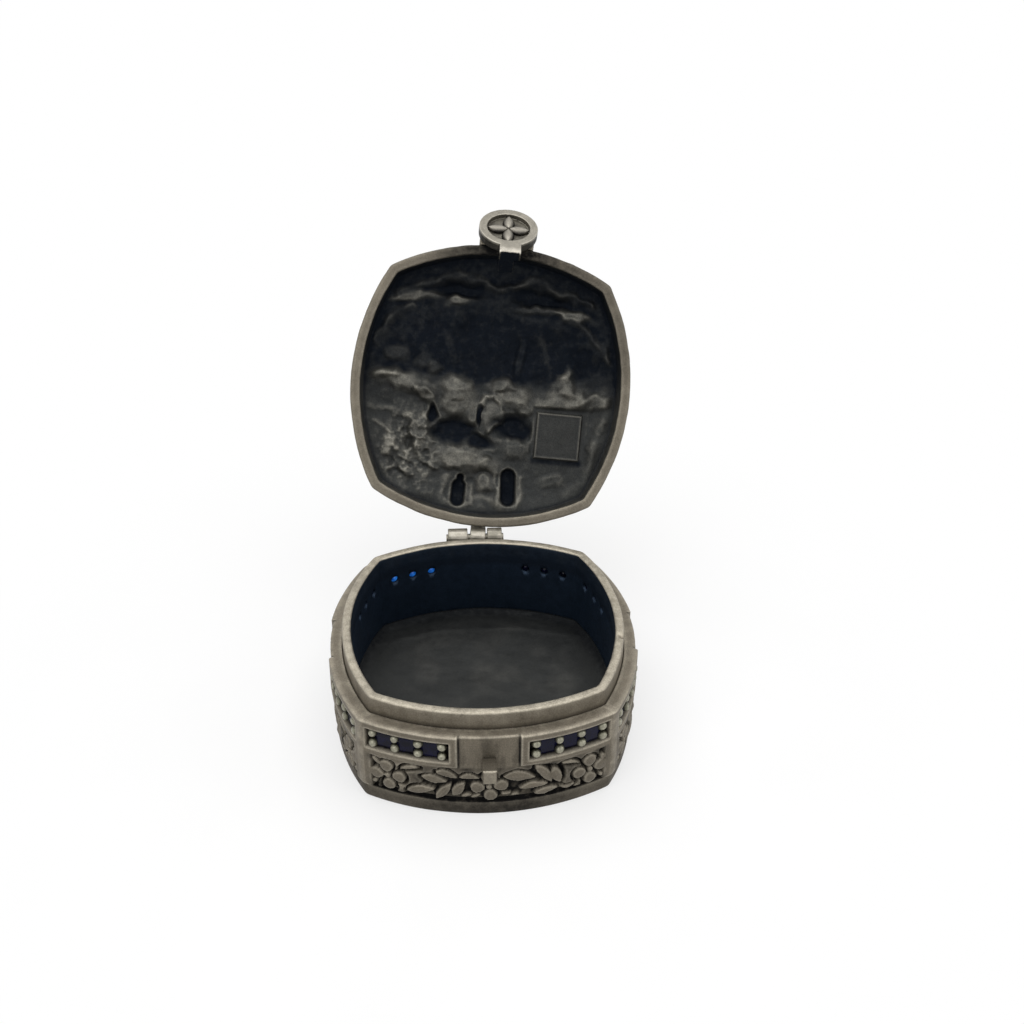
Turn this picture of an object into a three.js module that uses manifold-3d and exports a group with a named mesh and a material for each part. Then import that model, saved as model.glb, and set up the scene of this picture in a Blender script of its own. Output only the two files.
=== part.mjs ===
// A small hinged silver box with a lotus lid, shown with its lid leaning back on its stop.
// Millimetres. X is to the right, Y to the back and Z up. Z 0 is the flat underside of the foot.
import * as THREE from "three";
import { mergeVertices } from "three/addons/utils/BufferGeometryUtils.js";
import Module from "manifold-3d";

const wasm = await Module();
wasm.setup();

// Plan: a square whose four sides are shallow arcs.
const HALF_W = 14.0;
const HALF_D = 14.05;
const SIDE_R = 22.0;
const CORNER_SOFTENING = 0.7;

// Heights of the base.
const BOTTOM_T = 1.1;
const FLOOR_LOW = 1.6;
const FLOOR_TOP = 2.4;
const FOOT_H = 1.65;
const FRIEZE_TOP = 5.4;
const SHOULDER_Z = 9.13;
const LIP_H = 1.72;
const LIP_TOP = SHOULDER_Z + LIP_H;

// Depths measured inwards from the wall's outer face.
const LEDGE = 1.12;
const LIP_T = 0.83;
const INSIDE = LEDGE + LIP_T;
const FIT = 0.04;
const FOOT_IN = 0.62;
const GROUND = 0.45;
const RELIEF_OUT = 0.06;

// Channels of stones. What lies along a side is a share of half its length.
const FRAME_FROM = 0.1964;
const FRAME_TO = 0.8071;
const FRAME_LOW = 5.72;
const FRAME_HIGH = 9.03;
const FRAME_OUT = 0.24;
const WINDOW_FROM = 0.25;
const WINDOW_TO = 0.7843;
const WINDOW_LOW = 6.3;
const WINDOW_HIGH = 8.42;
const WINDOW_DEEP = 0.38;
const STONE_AT = [0.3664, 0.5157, 0.665];
const STONE_SHARE = 0.045;
const STONE_LEVEL = 7.35;
const STONE_OUT = 0.02;
const BEAD_AT = [0.2918, 0.4411, 0.5904, 0.7396];
const BEAD_SHARE = 0.0257;
const BEAD_RISE = 0.54;
const HOLE_R = 0.36;
const HOLE_LEVEL = 7.95;

// Frieze. Places are shares of half the side and of the strip's height.
const STRIP_TO = 0.786;
const BLOSSOM_AT = [-0.664, 0, 0.664];
const BLOSSOM_LEVEL = 0.48;
const LEAVES = [
  [0.539, 0.253, 0.364, 0.187, 0.2], [0.521, 0.773, 0.4, 0.667, 0.187], [0.357, 0.547, 0.279, 0.12, 0.227],
  [0.268, 0.6, 0.186, 0.2, 0.213], [0.371, 0.787, 0.243, 0.653, 0.173], [0.229, 0.827, 0.086, 0.707, 0.16],
];

// Catch peg on the front.
const PEG_W = 1.25;
const PEG_LOW = 5.36;
const PEG_HIGH = 6.88;
const PEG_LONG = 1.77;
const PEG_END = -HALF_D - PEG_LONG;
const PEG_EDGE = 0.12;

// Hinge.
const HINGE_BACK = 1.15;
const HINGE_UP = 0.22;
const AXIS_Y = HALF_D + HINGE_BACK;
const AXIS_Z = SHOULDER_Z + HINGE_UP;
const BARREL_R = 0.98;
const PIN_R = 0.42;
const PIN_PLAY = 0.05;
const LID_PIN_PLAY = 0.15;
const LEFT_BARREL = [-2.93, -0.98];
const LID_BARREL = [-0.74, 0.76];
const RIGHT_BARREL = [1.0, 2.45];
const OPEN_DEG = 121.0;
const LEAN_DEG = 6.5;
const HEEL_GAP = 0.05;
const HEEL_REACH = HINGE_BACK - HEEL_GAP;
const HEEL_LONG = 1.3;

// Lid, heights above its rim.
const RIM_LIFT = 0.04;
const RIM_T = 0.94;
const CEILING = 3.0;
const CEILING_IN = 2.9;
const CROWN = 4.05;
const CROWN_IN = 4.6;
const PETAL_T = 0.45;
const PLAQUE_T = 0.36;

// Outside of the lid from rim to crown: shares of CROWN_IN and of CROWN.
const LID_SIDE = [[0, 0.025], [0.004, 0.42], [0.076, 0.642], [0.283, 0.815], [0.609, 0.938]];

// Clasp, in the lid's own upright frame. Heights are above the rim.
const PIVOT_OUT = 3.18;
const PIVOT_Y = -HALF_D - PIVOT_OUT;
const PIVOT_H = 1.85;
const PIVOT_X = 0.3;
const REST_TILT = 44.1;
const PRESS_IN = 9.2;
const DISC_R = 2.93;
const PIVOT_IN = 0.38;
const PIVOT_TO_DISC = DISC_R - PIVOT_IN;
const RING_IN = 2.15;
const PLATE_T = 0.97;
const PIVOT_UNDER = 0.6;
const RECESS = 0.5;
const TAB_W = 2.1;
const TAB_X = 0.28;
const TAB_END = 6.6;
const HOOK_W = 1.45;
const HOOK_TIP = 1.9;
const HOOK_T = 0.72;
const CLASP_PIN_R = 0.2;
const CLASP_PIN_HALF = 1.25;
const CLASP_PLAY = 0.03;
const LUG_R = 0.36;
const LUG_HALF = 0.5;

const degrees = Math.PI / 180;

function clean(geometry) {
  const g = geometry.clone();
  g.deleteAttribute("normal");
  g.deleteAttribute("uv");
  return mergeVertices(g, 1e-5);
}

function solid(geometry) {
  const g = clean(geometry);
  const mesh = new wasm.Mesh({
    numProp: 3,
    vertProperties: new Float32Array(g.attributes.position.array),
    triVerts: new Uint32Array(g.index.array),
  });
  mesh.merge();
  return new wasm.Manifold(mesh);
}

function geometryOf(manifold) {
  const m = manifold.getMesh();
  const g = new THREE.BufferGeometry();
  const xyz = new Float32Array((m.vertProperties.length / m.numProp) * 3);
  for (let i = 0; i < xyz.length / 3; i += 1) {
    for (let k = 0; k < 3; k += 1) {
      xyz[i * 3 + k] = m.vertProperties[i * m.numProp + k];
    }
  }
  g.setAttribute("position", new THREE.BufferAttribute(xyz, 3));
  g.setIndex(new THREE.BufferAttribute(new Uint32Array(m.triVerts), 1));
  return g;
}

function unite(list) {
  return list.reduce((a, b) => a.add(b));
}

// Reverse the faces of a geometry whose volume comes out negative.
function outwards(geometry) {
  const g = clean(geometry);
  const p = g.attributes.position;
  const index = g.index.array;
  const a = new THREE.Vector3();
  const b = new THREE.Vector3();
  const c = new THREE.Vector3();
  let volume = 0;
  for (let i = 0; i < index.length; i += 3) {
    a.fromBufferAttribute(p, index[i]);
    b.fromBufferAttribute(p, index[i + 1]);
    c.fromBufferAttribute(p, index[i + 2]);
    volume += a.dot(b.cross(c));
  }
  if (volume < 0) {
    for (let i = 0; i < index.length; i += 3) {
      const t = index[i + 1];
      index[i + 1] = index[i + 2];
      index[i + 2] = t;
    }
  }
  return g;
}

// One ring of the plan, moved inwards by a distance. Every ring has the same number of points.
function outline(inset, segments = 10) {
  const r = SIDE_R - inset;
  const fy = SIDE_R - HALF_D;
  const sx = SIDE_R - HALF_W;
  const half = Math.hypot(fy, sx) / 2;
  const h = Math.sqrt(r * r - half * half);
  const cx = -sx / 2 + (h * fy) / (2 * half);
  const cy = fy / 2 - (h * sx) / (2 * half);
  const soft = Math.min(CORNER_SOFTENING, (HALF_W - inset) * 0.2) / r;
  const a = Math.asin(cx / r) - soft;
  const b = Math.asin(-cy / r) - soft;
  const front = [];
  const right = [];
  for (let i = 0; i <= segments; i += 1) {
    const t = (2 * i) / segments - 1;
    front.push([r * Math.sin(a * t), fy - r * Math.cos(a * t)]);
    right.push([-sx + r * Math.cos(b * t), r * Math.sin(b * t)]);
  }
  const bend = (p, c, q) =>
    [0.33, 0.67].map((t) => [0, 1].map((k) =>
      (1 - t) * (1 - t) * p[k] + 2 * t * (1 - t) * c[k] + t * t * q[k]));
  const corner = [cx, cy];
  const nextCorner = [cx, -cy];
  const first = [...front, ...bend(front[segments], corner, right[0]), ...right];
  const backStart = [-front[0][0], -front[0][1]];
  first.push(...bend(right[segments], nextCorner, backStart));
  return [...first, ...first.map(([x, y]) => [-x, -y])];
}

// A body through rings of [inset, z]. A tube closes on itself; otherwise both ends are capped.
function loft(rings, tube) {
  const sets = rings.map(([inset, z]) => outline(inset).map(([x, y]) => [x, y, z]));
  const n = sets[0].length;
  const points = sets.flat();
  const faces = [];
  const loops = tube ? sets.length : sets.length - 1;
  for (let r = 0; r < loops; r += 1) {
    const lower = r * n;
    const upper = ((r + 1) % sets.length) * n;
    for (let i = 0; i < n; i += 1) {
      const j = (i + 1) % n;
      faces.push([lower + i, lower + j, upper + j], [lower + i, upper + j, upper + i]);
    }
  }
  if (!tube) {
    const low = points.push([0, 0, sets[0][0][2]]) - 1;
    const high = points.push([0, 0, sets[sets.length - 1][0][2]]) - 1;
    const top = (sets.length - 1) * n;
    for (let i = 0; i < n; i += 1) {
      const j = (i + 1) % n;
      faces.push([low, j, i], [high, top + i, top + j]);
    }
  }
  const g = new THREE.BufferGeometry();
  g.setAttribute("position", new THREE.Float32BufferAttribute(points.flat(), 3));
  g.setIndex(faces.flat());
  return outwards(g);
}

// The wall leans in slightly towards the foot.
function leanIn(z) {
  const t = Math.max(0, 1 - z / 4.5);
  return 0.3 * t * t;
}

// Half the length of side 0 to 3 (front, right, back, left).
function halfSide(side) {
  return side % 2 === 0 ? HALF_W : HALF_D;
}

// A point on a side: distance along it, height and distance out.
function onSide(side, u, z, out) {
  const half = side % 2 === 0 ? HALF_D : HALF_W;
  const r = SIDE_R + out - leanIn(z);
  const a = u / SIDE_R;
  const p = new THREE.Vector3(r * Math.sin(a), SIDE_R - half - r * Math.cos(a), z);
  return p.applyAxisAngle(new THREE.Vector3(0, 0, 1), (side * Math.PI) / 2);
}

function wrap(geometry, side) {
  const g = clean(geometry);
  const p = g.attributes.position;
  for (let i = 0; i < p.count; i += 1) {
    const q = onSide(side, p.getX(i), p.getY(i), p.getZ(i));
    p.setXYZ(i, q.x, q.y, q.z);
  }
  return outwards(g);
}

// A plate that follows a side.
function plate(side, u0, u1, z0, z1, out0, out1) {
  const steps = Math.max(1, Math.round((u1 - u0) / 1.9));
  const g = new THREE.BoxGeometry(u1 - u0, z1 - z0, out1 - out0, steps, 1, 1);
  g.translate((u0 + u1) / 2, (z0 + z1) / 2, (out0 + out1) / 2);
  return solid(wrap(g, side));
}

// A flat outline in [u, z] raised from a side.
function raised(side, points, out0, out1) {
  const shape = new THREE.Shape(points.map(([x, y]) => new THREE.Vector2(x, y)));
  const g = new THREE.ExtrudeGeometry(shape, { depth: out1 - out0, bevelEnabled: false });
  g.translate(0, 0, out0);
  return solid(wrap(g, side));
}

function ellipse(cu, cz, a, b, turn, sides) {
  const list = [];
  for (let i = 0; i < sides; i += 1) {
    const t = (2 * Math.PI * i) / sides;
    const x = a * Math.cos(t);
    const y = b * Math.sin(t);
    list.push([cu + x * Math.cos(turn) - y * Math.sin(turn), cz + x * Math.sin(turn) + y * Math.cos(turn)]);
  }
  return list;
}

// A pointed leaf from one point to another.
function leaf(u0, z0, u1, z1, width) {
  const dx = u1 - u0;
  const dz = z1 - z0;
  const l = Math.hypot(dx, dz);
  const nx = (-dz / l) * width * 0.5;
  const nz = (dx / l) * width * 0.5;
  const at = (t, s) => [u0 + dx * t + nx * s, z0 + dz * t + nz * s];
  return [at(0, 0), at(0.25, -0.75), at(0.55, -1), at(1, 0), at(0.55, 1), at(0.25, 0.75)];
}

function bar(x0, x1, y0, y1, z0, z1) {
  const g = new THREE.BoxGeometry(x1 - x0, y1 - y0, z1 - z0);
  g.translate((x0 + x1) / 2, (y0 + y1) / 2, (z0 + z1) / 2);
  return solid(g);
}

// A round bar along X.
function rod(x0, x1, y, z, r, sides = 24) {
  const g = new THREE.CylinderGeometry(r, r, x1 - x0, sides);
  g.rotateZ(Math.PI / 2);
  g.translate((x0 + x1) / 2, y, z);
  return solid(g);
}

// A polygon in [y, z] carried along X.
function slab(points, x0, x1) {
  const shape = new THREE.Shape(points.map(([y, z]) => new THREE.Vector2(y, z)));
  const g = new THREE.ExtrudeGeometry(shape, { depth: x1 - x0, bevelEnabled: false });
  g.applyMatrix4(new THREE.Matrix4().makeBasis(
    new THREE.Vector3(0, 1, 0), new THREE.Vector3(0, 0, 1), new THREE.Vector3(1, 0, 0)));
  g.translate(x0, 0, 0);
  return solid(outwards(g));
}

const part = new THREE.Group();
part.name = "devotional_lotus_box";
const silver = { color: 0x8c877c, roughness: 0.42, metalness: 1.0 };
const darkSilver = { color: 0x3a3935, roughness: 0.55, metalness: 0.9 };
const brightSilver = { color: 0xb4afa2, roughness: 0.32, metalness: 1.0 };
const stoneBlue = { color: 0x10163f, roughness: 0.08, metalness: 0.0 };

function add(name, body, look, placed) {
  const g = body.getMesh ? geometryOf(body) : clean(body);
  if (placed) {
    g.applyMatrix4(placed);
  }
  g.computeVertexNormals();
  const mesh = new THREE.Mesh(g, new THREE.MeshStandardMaterial(look));
  mesh.name = name;
  part.add(mesh);
}

const sideNames = ["front", "right", "back", "left"];
const handNames = ["left", "right"];
const handSigns = [-1, 1];

// The drilled way behind each stone, from its seat to the inside.
function drilling(side, sign, u) {
  const a = onSide(side, sign * u, HOLE_LEVEL, -WINDOW_DEEP + 0.2);
  const inward = new THREE.Vector3(0, 1, 0);
  inward.applyAxisAngle(new THREE.Vector3(0, 0, 1), (side * Math.PI) / 2 + (sign * u) / SIDE_R / 2);
  const g = new THREE.CylinderGeometry(HOLE_R, HOLE_R, 3.0, 8);
  g.translate(0, 1.5, 0);
  g.applyQuaternion(new THREE.Quaternion().setFromUnitVectors(new THREE.Vector3(0, 1, 0), inward));
  g.translate(a.x, a.y, a.z);
  return solid(g);
}

const drillings = [];
for (let side = 0; side < 4; side += 1) {
  for (const sign of handSigns) {
    for (const share of STONE_AT) {
      drillings.push(drilling(side, sign, share * halfSide(side)));
    }
  }
}
const allDrillings = unite(drillings);

// Outer wall: plain shoulder, channel recesses and a sunk ground for the frieze.
const wallInner = LEDGE - FIT;
let wall = solid(loft([
  [FOOT_IN + FIT, 0.02],
  [FOOT_IN + FIT, FOOT_H + FIT],
  [GROUND + leanIn(FOOT_H), FOOT_H + FIT],
  [GROUND + leanIn(FRIEZE_TOP), FRIEZE_TOP - 0.12],
  [0.02, FRIEZE_TOP],
  [0.0, SHOULDER_Z - 0.12],
  [0.1, SHOULDER_Z],
  [wallInner, SHOULDER_Z],
  [wallInner, 0.02],
], true));
const windows = [];
const beads = [];
for (let side = 0; side < 4; side += 1) {
  const half = halfSide(side);
  const beadR = BEAD_SHARE * half;
  for (const sign of handSigns) {
    const u0 = half * Math.min(sign * WINDOW_FROM, sign * WINDOW_TO);
    const u1 = half * Math.max(sign * WINDOW_FROM, sign * WINDOW_TO);
    windows.push(plate(side, u0, u1, WINDOW_LOW, WINDOW_HIGH, -WINDOW_DEEP, 0.5));
    for (const share of BEAD_AT) {
      for (const rise of [-BEAD_RISE, BEAD_RISE]) {
        const foot = onSide(side, sign * share * half, STONE_LEVEL + rise, -WINDOW_DEEP - 0.1);
        const tip = onSide(side, sign * share * half, STONE_LEVEL + rise, RELIEF_OUT + 0.12);
        const length = foot.distanceTo(tip);
        const g = new THREE.LatheGeometry([
          new THREE.Vector2(0, 0),
          new THREE.Vector2(beadR, 0),
          new THREE.Vector2(beadR, length - 0.22),
          new THREE.Vector2(beadR * 0.6, length - 0.04),
          new THREE.Vector2(0, length),
        ], 7);
        g.applyQuaternion(new THREE.Quaternion().setFromUnitVectors(
          new THREE.Vector3(0, 1, 0), tip.clone().sub(foot).normalize()));
        g.translate(foot.x, foot.y, foot.z);
        beads.push(solid(outwards(g)));
      }
    }
  }
}
wall = wall.subtract(unite(windows)).subtract(allDrillings).add(unite(beads));
add("base_wall", wall, silver);

// Plain band round the foot.
add("foot_band", loft([
  [FOOT_IN, 0],
  [FOOT_IN, FOOT_H],
  [0.12 + leanIn(FOOT_H), FOOT_H],
  [0.02 + leanIn(FOOT_H), FOOT_H - 0.15],
  [0.02 + leanIn(0.15), 0.15],
  [0.14 + leanIn(0), 0],
], true), silver);

// Inner wall that stands up as the locating lip, floor and bottom.
const sleeve = solid(loft([
  [LEDGE, FLOOR_TOP + FIT],
  [LEDGE, LIP_TOP - 0.12],
  [LEDGE + 0.1, LIP_TOP],
  [INSIDE - 0.1, LIP_TOP],
  [INSIDE, LIP_TOP - 0.12],
  [INSIDE, FLOOR_TOP + FIT],
], true));
add("inner_sleeve", sleeve.subtract(allDrillings), silver);
add("floor_plate", loft([[LEDGE, FLOOR_LOW], [LEDGE, FLOOR_TOP]], false), darkSilver);
add("bottom_plate", loft([[LEDGE, 0], [LEDGE, BOTTOM_T]], false), silver);

// Raised frames, stones and frieze strips, side by side round the box.
for (let side = 0; side < 4; side += 1) {
  const half = halfSide(side);
  for (let hand = 0; hand < 2; hand += 1) {
    const sign = handSigns[hand];
    const span = (a, b) => [half * Math.min(sign * a, sign * b), half * Math.max(sign * a, sign * b)];
    const outer = plate(side, ...span(FRAME_FROM, FRAME_TO), FRAME_LOW, FRAME_HIGH, FIT, FRAME_OUT);
    const inner = plate(side, ...span(WINDOW_FROM, WINDOW_TO), WINDOW_LOW, WINDOW_HIGH, -0.2, 0.6);
    const label = sideNames[side] + "_" + handNames[hand];
    const hingeRoom = bar(
      LEFT_BARREL[0] - FIT, RIGHT_BARREL[1] + FIT, HALF_D - 1, HALF_D + 2, SHOULDER_Z - 1.93, SHOULDER_Z);
    add("frame_" + label, outer.subtract(inner).subtract(hingeRoom), silver);
    STONE_AT.forEach((share, i) => {
      const s = STONE_SHARE * half;
      const low = -WINDOW_DEEP + FIT;
      const corners = [
        [s, low], [s, -0.16], [s * 0.62, STONE_OUT],
      ].map(([h, out]) => [[-h, -h], [h, -h], [h, h], [-h, h]].map(([du, dz]) =>
        onSide(side, sign * share * half + du, STONE_LEVEL + dz, out)));
      const points = corners.flat();
      const quads = [[3, 2, 1, 0], [8, 9, 10, 11]];
      for (let r = 0; r < 2; r += 1) {
        for (let k = 0; k < 4; k += 1) {
          const n = (k + 1) % 4;
          quads.push([r * 4 + k, r * 4 + n, r * 4 + 4 + n, r * 4 + 4 + k]);
        }
      }
      const g = new THREE.BufferGeometry();
      g.setAttribute("position", new THREE.Float32BufferAttribute(points.flatMap((p) => [p.x, p.y, p.z]), 3));
      g.setIndex(quads.flatMap(([a, b, c, d]) => [a, b, c, a, c, d]));
      add("stone_" + label + "_" + (i + 1), outwards(g), stoneBlue);
    });
  }
  const to = STRIP_TO * half;
  const strip = plate(side, -to, to, FOOT_H + 0.12, FRIEZE_TOP - 0.2, -GROUND + FIT, -GROUND + 0.15);
  const out0 = -GROUND + 0.1;
  const tall = FRIEZE_TOP - FOOT_H;
  const motifs = [];
  for (const share of BLOSSOM_AT) {
    const cu = share * half;
    const cz = FOOT_H + BLOSSOM_LEVEL * tall;
    const reach = 0.235 * tall;
    for (let k = 0; k < 4; k += 1) {
      const t = (k * Math.PI) / 2;
      const u = cu + reach * Math.cos(t);
      const z = cz + reach * Math.sin(t);
      const petal = ellipse(u, z, 0.75 * reach, 0.66 * reach, t, 6);
      motifs.push(raised(side, petal, out0, RELIEF_OUT));
    }
    motifs.push(raised(side, ellipse(cu, cz, 0.45 * reach, 0.45 * reach, 0, 6), out0, RELIEF_OUT + 0.08));
  }
  for (const sign of handSigns) {
    for (const [a, b, c, d, wide] of LEAVES) {
      const z0 = FOOT_H + b * tall;
      const z1 = FOOT_H + d * tall;
      const points = leaf(sign * a * half, z0, sign * c * half, z1, wide * tall);
      motifs.push(raised(side, points, out0, RELIEF_OUT - 0.02));
    }
  }
  add("frieze_" + sideNames[side], strip.add(unite(motifs)), silver);
}

// Catch peg, a square bar with small edges broken at its end.
const pegBody = bar(-PEG_W / 2, PEG_W / 2, PEG_END + PEG_EDGE, -HALF_D - FIT, PEG_LOW, PEG_HIGH);
const pegNose = new THREE.BufferGeometry();
const noseIn = PEG_W / 2 - PEG_EDGE;
pegNose.setAttribute("position", new THREE.Float32BufferAttribute([
  -PEG_W / 2, PEG_END + PEG_EDGE, PEG_LOW, PEG_W / 2, PEG_END + PEG_EDGE, PEG_LOW,
  PEG_W / 2, PEG_END + PEG_EDGE, PEG_HIGH, -PEG_W / 2, PEG_END + PEG_EDGE, PEG_HIGH,
  -noseIn, PEG_END, PEG_LOW + PEG_EDGE, noseIn, PEG_END, PEG_LOW + PEG_EDGE,
  noseIn, PEG_END, PEG_HIGH - PEG_EDGE, -noseIn, PEG_END, PEG_HIGH - PEG_EDGE,
], 3));
pegNose.setIndex([
  0, 1, 2, 0, 2, 3, 4, 6, 5, 4, 7, 6, 0, 4, 5, 0, 5, 1,
  1, 5, 6, 1, 6, 2, 2, 6, 7, 2, 7, 3, 3, 7, 4, 3, 4, 0,
]);
add("catch_peg", pegBody.add(solid(outwards(pegNose))), silver);

// Hinge. The base's two knuckles reach back from its wall.
const wallGuard = plate(2, -4, 4, 6.5, SHOULDER_Z + 0.06, -1.5, FIT);
function baseKnuckle([x0, x1]) {
  const web = slab([
    [HALF_D - 0.6, 7.5], [AXIS_Y, 8.42], [AXIS_Y, AXIS_Z], [HALF_D - 0.6, SHOULDER_Z - 0.15],
  ], x0, x1);
  const barrel = rod(x0, x1, AXIS_Y, AXIS_Z, BARREL_R);
  const bore = rod(x0 - 1, x1 + 1, AXIS_Y, AXIS_Z, PIN_R + PIN_PLAY, 20);
  return barrel.add(web).subtract(wallGuard).subtract(bore);
}
add("hinge_knuckle_left", baseKnuckle(LEFT_BARREL), brightSilver);
add("hinge_knuckle_right", baseKnuckle(RIGHT_BARREL), brightSilver);
add("hinge_pin", rod(LEFT_BARREL[0] - 0.18, RIGHT_BARREL[1] + 0.18, AXIS_Y, AXIS_Z, PIN_R, 20), brightSilver);

// The lid is drawn shut, then leant back on the hinge and turned a little by the play in it.
const toAxis = new THREE.Matrix4().makeTranslation(0, AXIS_Y, AXIS_Z);
const fromAxis = new THREE.Matrix4().makeTranslation(0, -AXIS_Y, -AXIS_Z);
const opened = new THREE.Matrix4().makeRotationX(-OPEN_DEG * degrees);
const leant = new THREE.Matrix4().makeRotationZ(LEAN_DEG * degrees);
const lidPlace = new THREE.Matrix4().multiply(toAxis).multiply(opened).multiply(leant).multiply(fromAxis);

const rimZ = SHOULDER_Z + RIM_LIFT;
const lidSide = LID_SIDE.map(([a, b]) => [a * CROWN_IN, rimZ + b * CROWN]);
const lidShell = solid(loft([
  ...lidSide, [CROWN_IN, rimZ + CROWN], [2.02 * CROWN_IN, rimZ + CROWN],
  [2.02 * CROWN_IN, rimZ + CEILING], [CEILING_IN, rimZ + CEILING], [0.69 * CEILING_IN, rimZ + 0.95 * CEILING],
  [0.466 * CEILING_IN, rimZ + 0.783 * CEILING], [RIM_T + 0.04, rimZ + 0.467 * CEILING],
  [RIM_T, rimZ], [0.1, rimZ],
], true));
const lidTop = solid(loft([
  [1.98 * CROWN_IN, rimZ + CEILING], [1.98 * CROWN_IN, rimZ + CROWN],
], false));
add("lid_shell", lidShell.add(lidTop), darkSilver, lidPlace);

// Middle knuckle on the lid, with the heel that meets the back wall when the lid is right back.
function turned([y, z]) {
  const c = Math.cos(OPEN_DEG * degrees);
  const s = Math.sin(OPEN_DEG * degrees);
  return [AXIS_Y + y * c - z * s, AXIS_Z + y * s + z * c];
}
const lidGuard = bar(-3, 3, HALF_D - 2, HALF_D + FIT + 0.01, AXIS_Z - 1.35, AXIS_Z + 4.65);
const knuckleWeb = slab([
  [HALF_D - 0.3, rimZ + 0.35], [AXIS_Y, AXIS_Z],
  [AXIS_Y, AXIS_Z + BARREL_R - 0.02], [HALF_D - 0.3, rimZ + 1.3],
], ...LID_BARREL);
const heel = slab([
  turned([-HEEL_REACH, 0]), turned([-HEEL_REACH, -HEEL_LONG]),
  turned([-0.5, -HEEL_LONG]), turned([0, -0.5]), turned([0, 0]),
], ...LID_BARREL);
const lidBore = rod(LID_BARREL[0] - 1, LID_BARREL[1] + 1, AXIS_Y, AXIS_Z, PIN_R + LID_PIN_PLAY, 20);
const lidKnuckle = rod(...LID_BARREL, AXIS_Y, AXIS_Z, BARREL_R).add(knuckleWeb).add(heel);
add("lid_knuckle", lidKnuckle.subtract(lidGuard).subtract(lidBore), brightSilver, lidPlace);

// Small square plaque on the inside of the lid.
const plaqueTop = rimZ + CEILING - FIT;
const plaque = bar(
  0.354 * HALF_W, 0.696 * HALF_W, 0.11 * HALF_D, 0.448 * HALF_D, plaqueTop - PLAQUE_T, plaqueTop);
add("lid_plaque", plaque, darkSilver, lidPlace);

// Lotus on the outside of the lid: two rings of petals and a seed head.
function petals(count, inner, outer, width, z0, z1, phase) {
  const list = [];
  for (let i = 0; i < count; i += 1) {
    const t = phase + (2 * Math.PI * i) / count;
    const mid = (inner + outer) / 2;
    const neck = outer - (outer - mid) * 0.35;
    const c = Math.cos(t);
    const s = Math.sin(t);
    const points = [
      [inner * 0.8, -width * 0.3], [mid, -width * 0.5], [neck, -width * 0.34], [outer, 0],
      [neck, width * 0.34], [mid, width * 0.5], [inner * 0.8, width * 0.3],
    ].map(([x, y]) => new THREE.Vector2(x * c - y * s, x * s + y * c));
    const g = new THREE.ExtrudeGeometry(new THREE.Shape(points), { depth: z1 - z0, bevelEnabled: false });
    g.translate(0, 0, z0);
    list.push(solid(g));
  }
  const hub = new THREE.CylinderGeometry(inner, inner, z1 - z0, count * 2);
  hub.rotateX(Math.PI / 2);
  hub.translate(0, 0, (z0 + z1) / 2);
  return unite([solid(hub), ...list]);
}
const crownZ = rimZ + CROWN;
const lotusR = HALF_W - 1.174 * CROWN_IN;
const outerRing = petals(8, 0.488 * lotusR, lotusR, 0.453 * lotusR, crownZ, crownZ + PETAL_T, 0);
add("lotus_outer_petals", outerRing, silver, lidPlace);
const innerRing = petals(
  8, 0.337 * lotusR, 0.733 * lotusR, 0.314 * lotusR, crownZ + PETAL_T, crownZ + 2 * PETAL_T, Math.PI / 8);
add("lotus_inner_petals", innerRing, silver, lidPlace);
const headR = 0.244 * lotusR;
const head = new THREE.LatheGeometry([
  new THREE.Vector2(0, 0), new THREE.Vector2(0.95 * headR, 0), new THREE.Vector2(headR, 0.78 * PETAL_T),
  new THREE.Vector2(0.71 * headR, 1.67 * PETAL_T), new THREE.Vector2(0, 1.89 * PETAL_T),
], 20);
head.rotateX(Math.PI / 2);
head.translate(0, 0, crownZ + 2 * PETAL_T);
add("lotus_seed_head", outwards(head), silver, lidPlace);

// Clasp. The flap is drawn with its pivot at the origin, its length along -Z and its face to -Y.
const pivotZ = rimZ + PIVOT_H;
const lean = new THREE.Matrix4().makeRotationX(REST_TILT * degrees);
const claspPlace = lidPlace.clone()
  .multiply(new THREE.Matrix4().makeTranslation(PIVOT_X, PIVOT_Y, pivotZ))
  .multiply(lean);
const face = -PIVOT_UNDER;
const back = PLATE_T - PIVOT_UNDER;

function disc(r, y0, y1, sides) {
  const g = new THREE.CylinderGeometry(r, r, y1 - y0, sides);
  g.translate(0, (y0 + y1) / 2, -PIVOT_TO_DISC);
  return solid(g);
}
const tab = bar(TAB_X - TAB_W / 2, TAB_X + TAB_W / 2, face, back, -TAB_END, -PIVOT_TO_DISC);
const hook = slab([
  [back - 0.3, -TAB_END], [HOOK_TIP, -TAB_END],
  [HOOK_TIP, -TAB_END + HOOK_T], [back - 0.3, -TAB_END + HOOK_T],
], -HOOK_W / 2, HOOK_W / 2);
const sunk = disc(RING_IN, face - 1, face + RECESS, 32);
const lugWay = rod(-LUG_HALF - 0.1, LUG_HALF + 0.1, 0, 0, LUG_R + 0.06, 16)
  .add(bar(-LUG_HALF - 0.1, LUG_HALF + 0.1, 0, 2, -LUG_R - 0.06, 2))
  .add(bar(-LUG_HALF - 0.1, LUG_HALF + 0.1, 0, 2, -1.4, 0));
const claspBore = rod(-DISC_R, DISC_R, 0, 0, CLASP_PIN_R + CLASP_PLAY, 12);
const flap = disc(DISC_R, face, back, 36)
  .add(tab)
  .add(hook)
  .subtract(sunk)
  .subtract(lugWay)
  .subtract(claspBore);
add("clasp_flap", flap, brightSilver, claspPlace);

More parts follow.
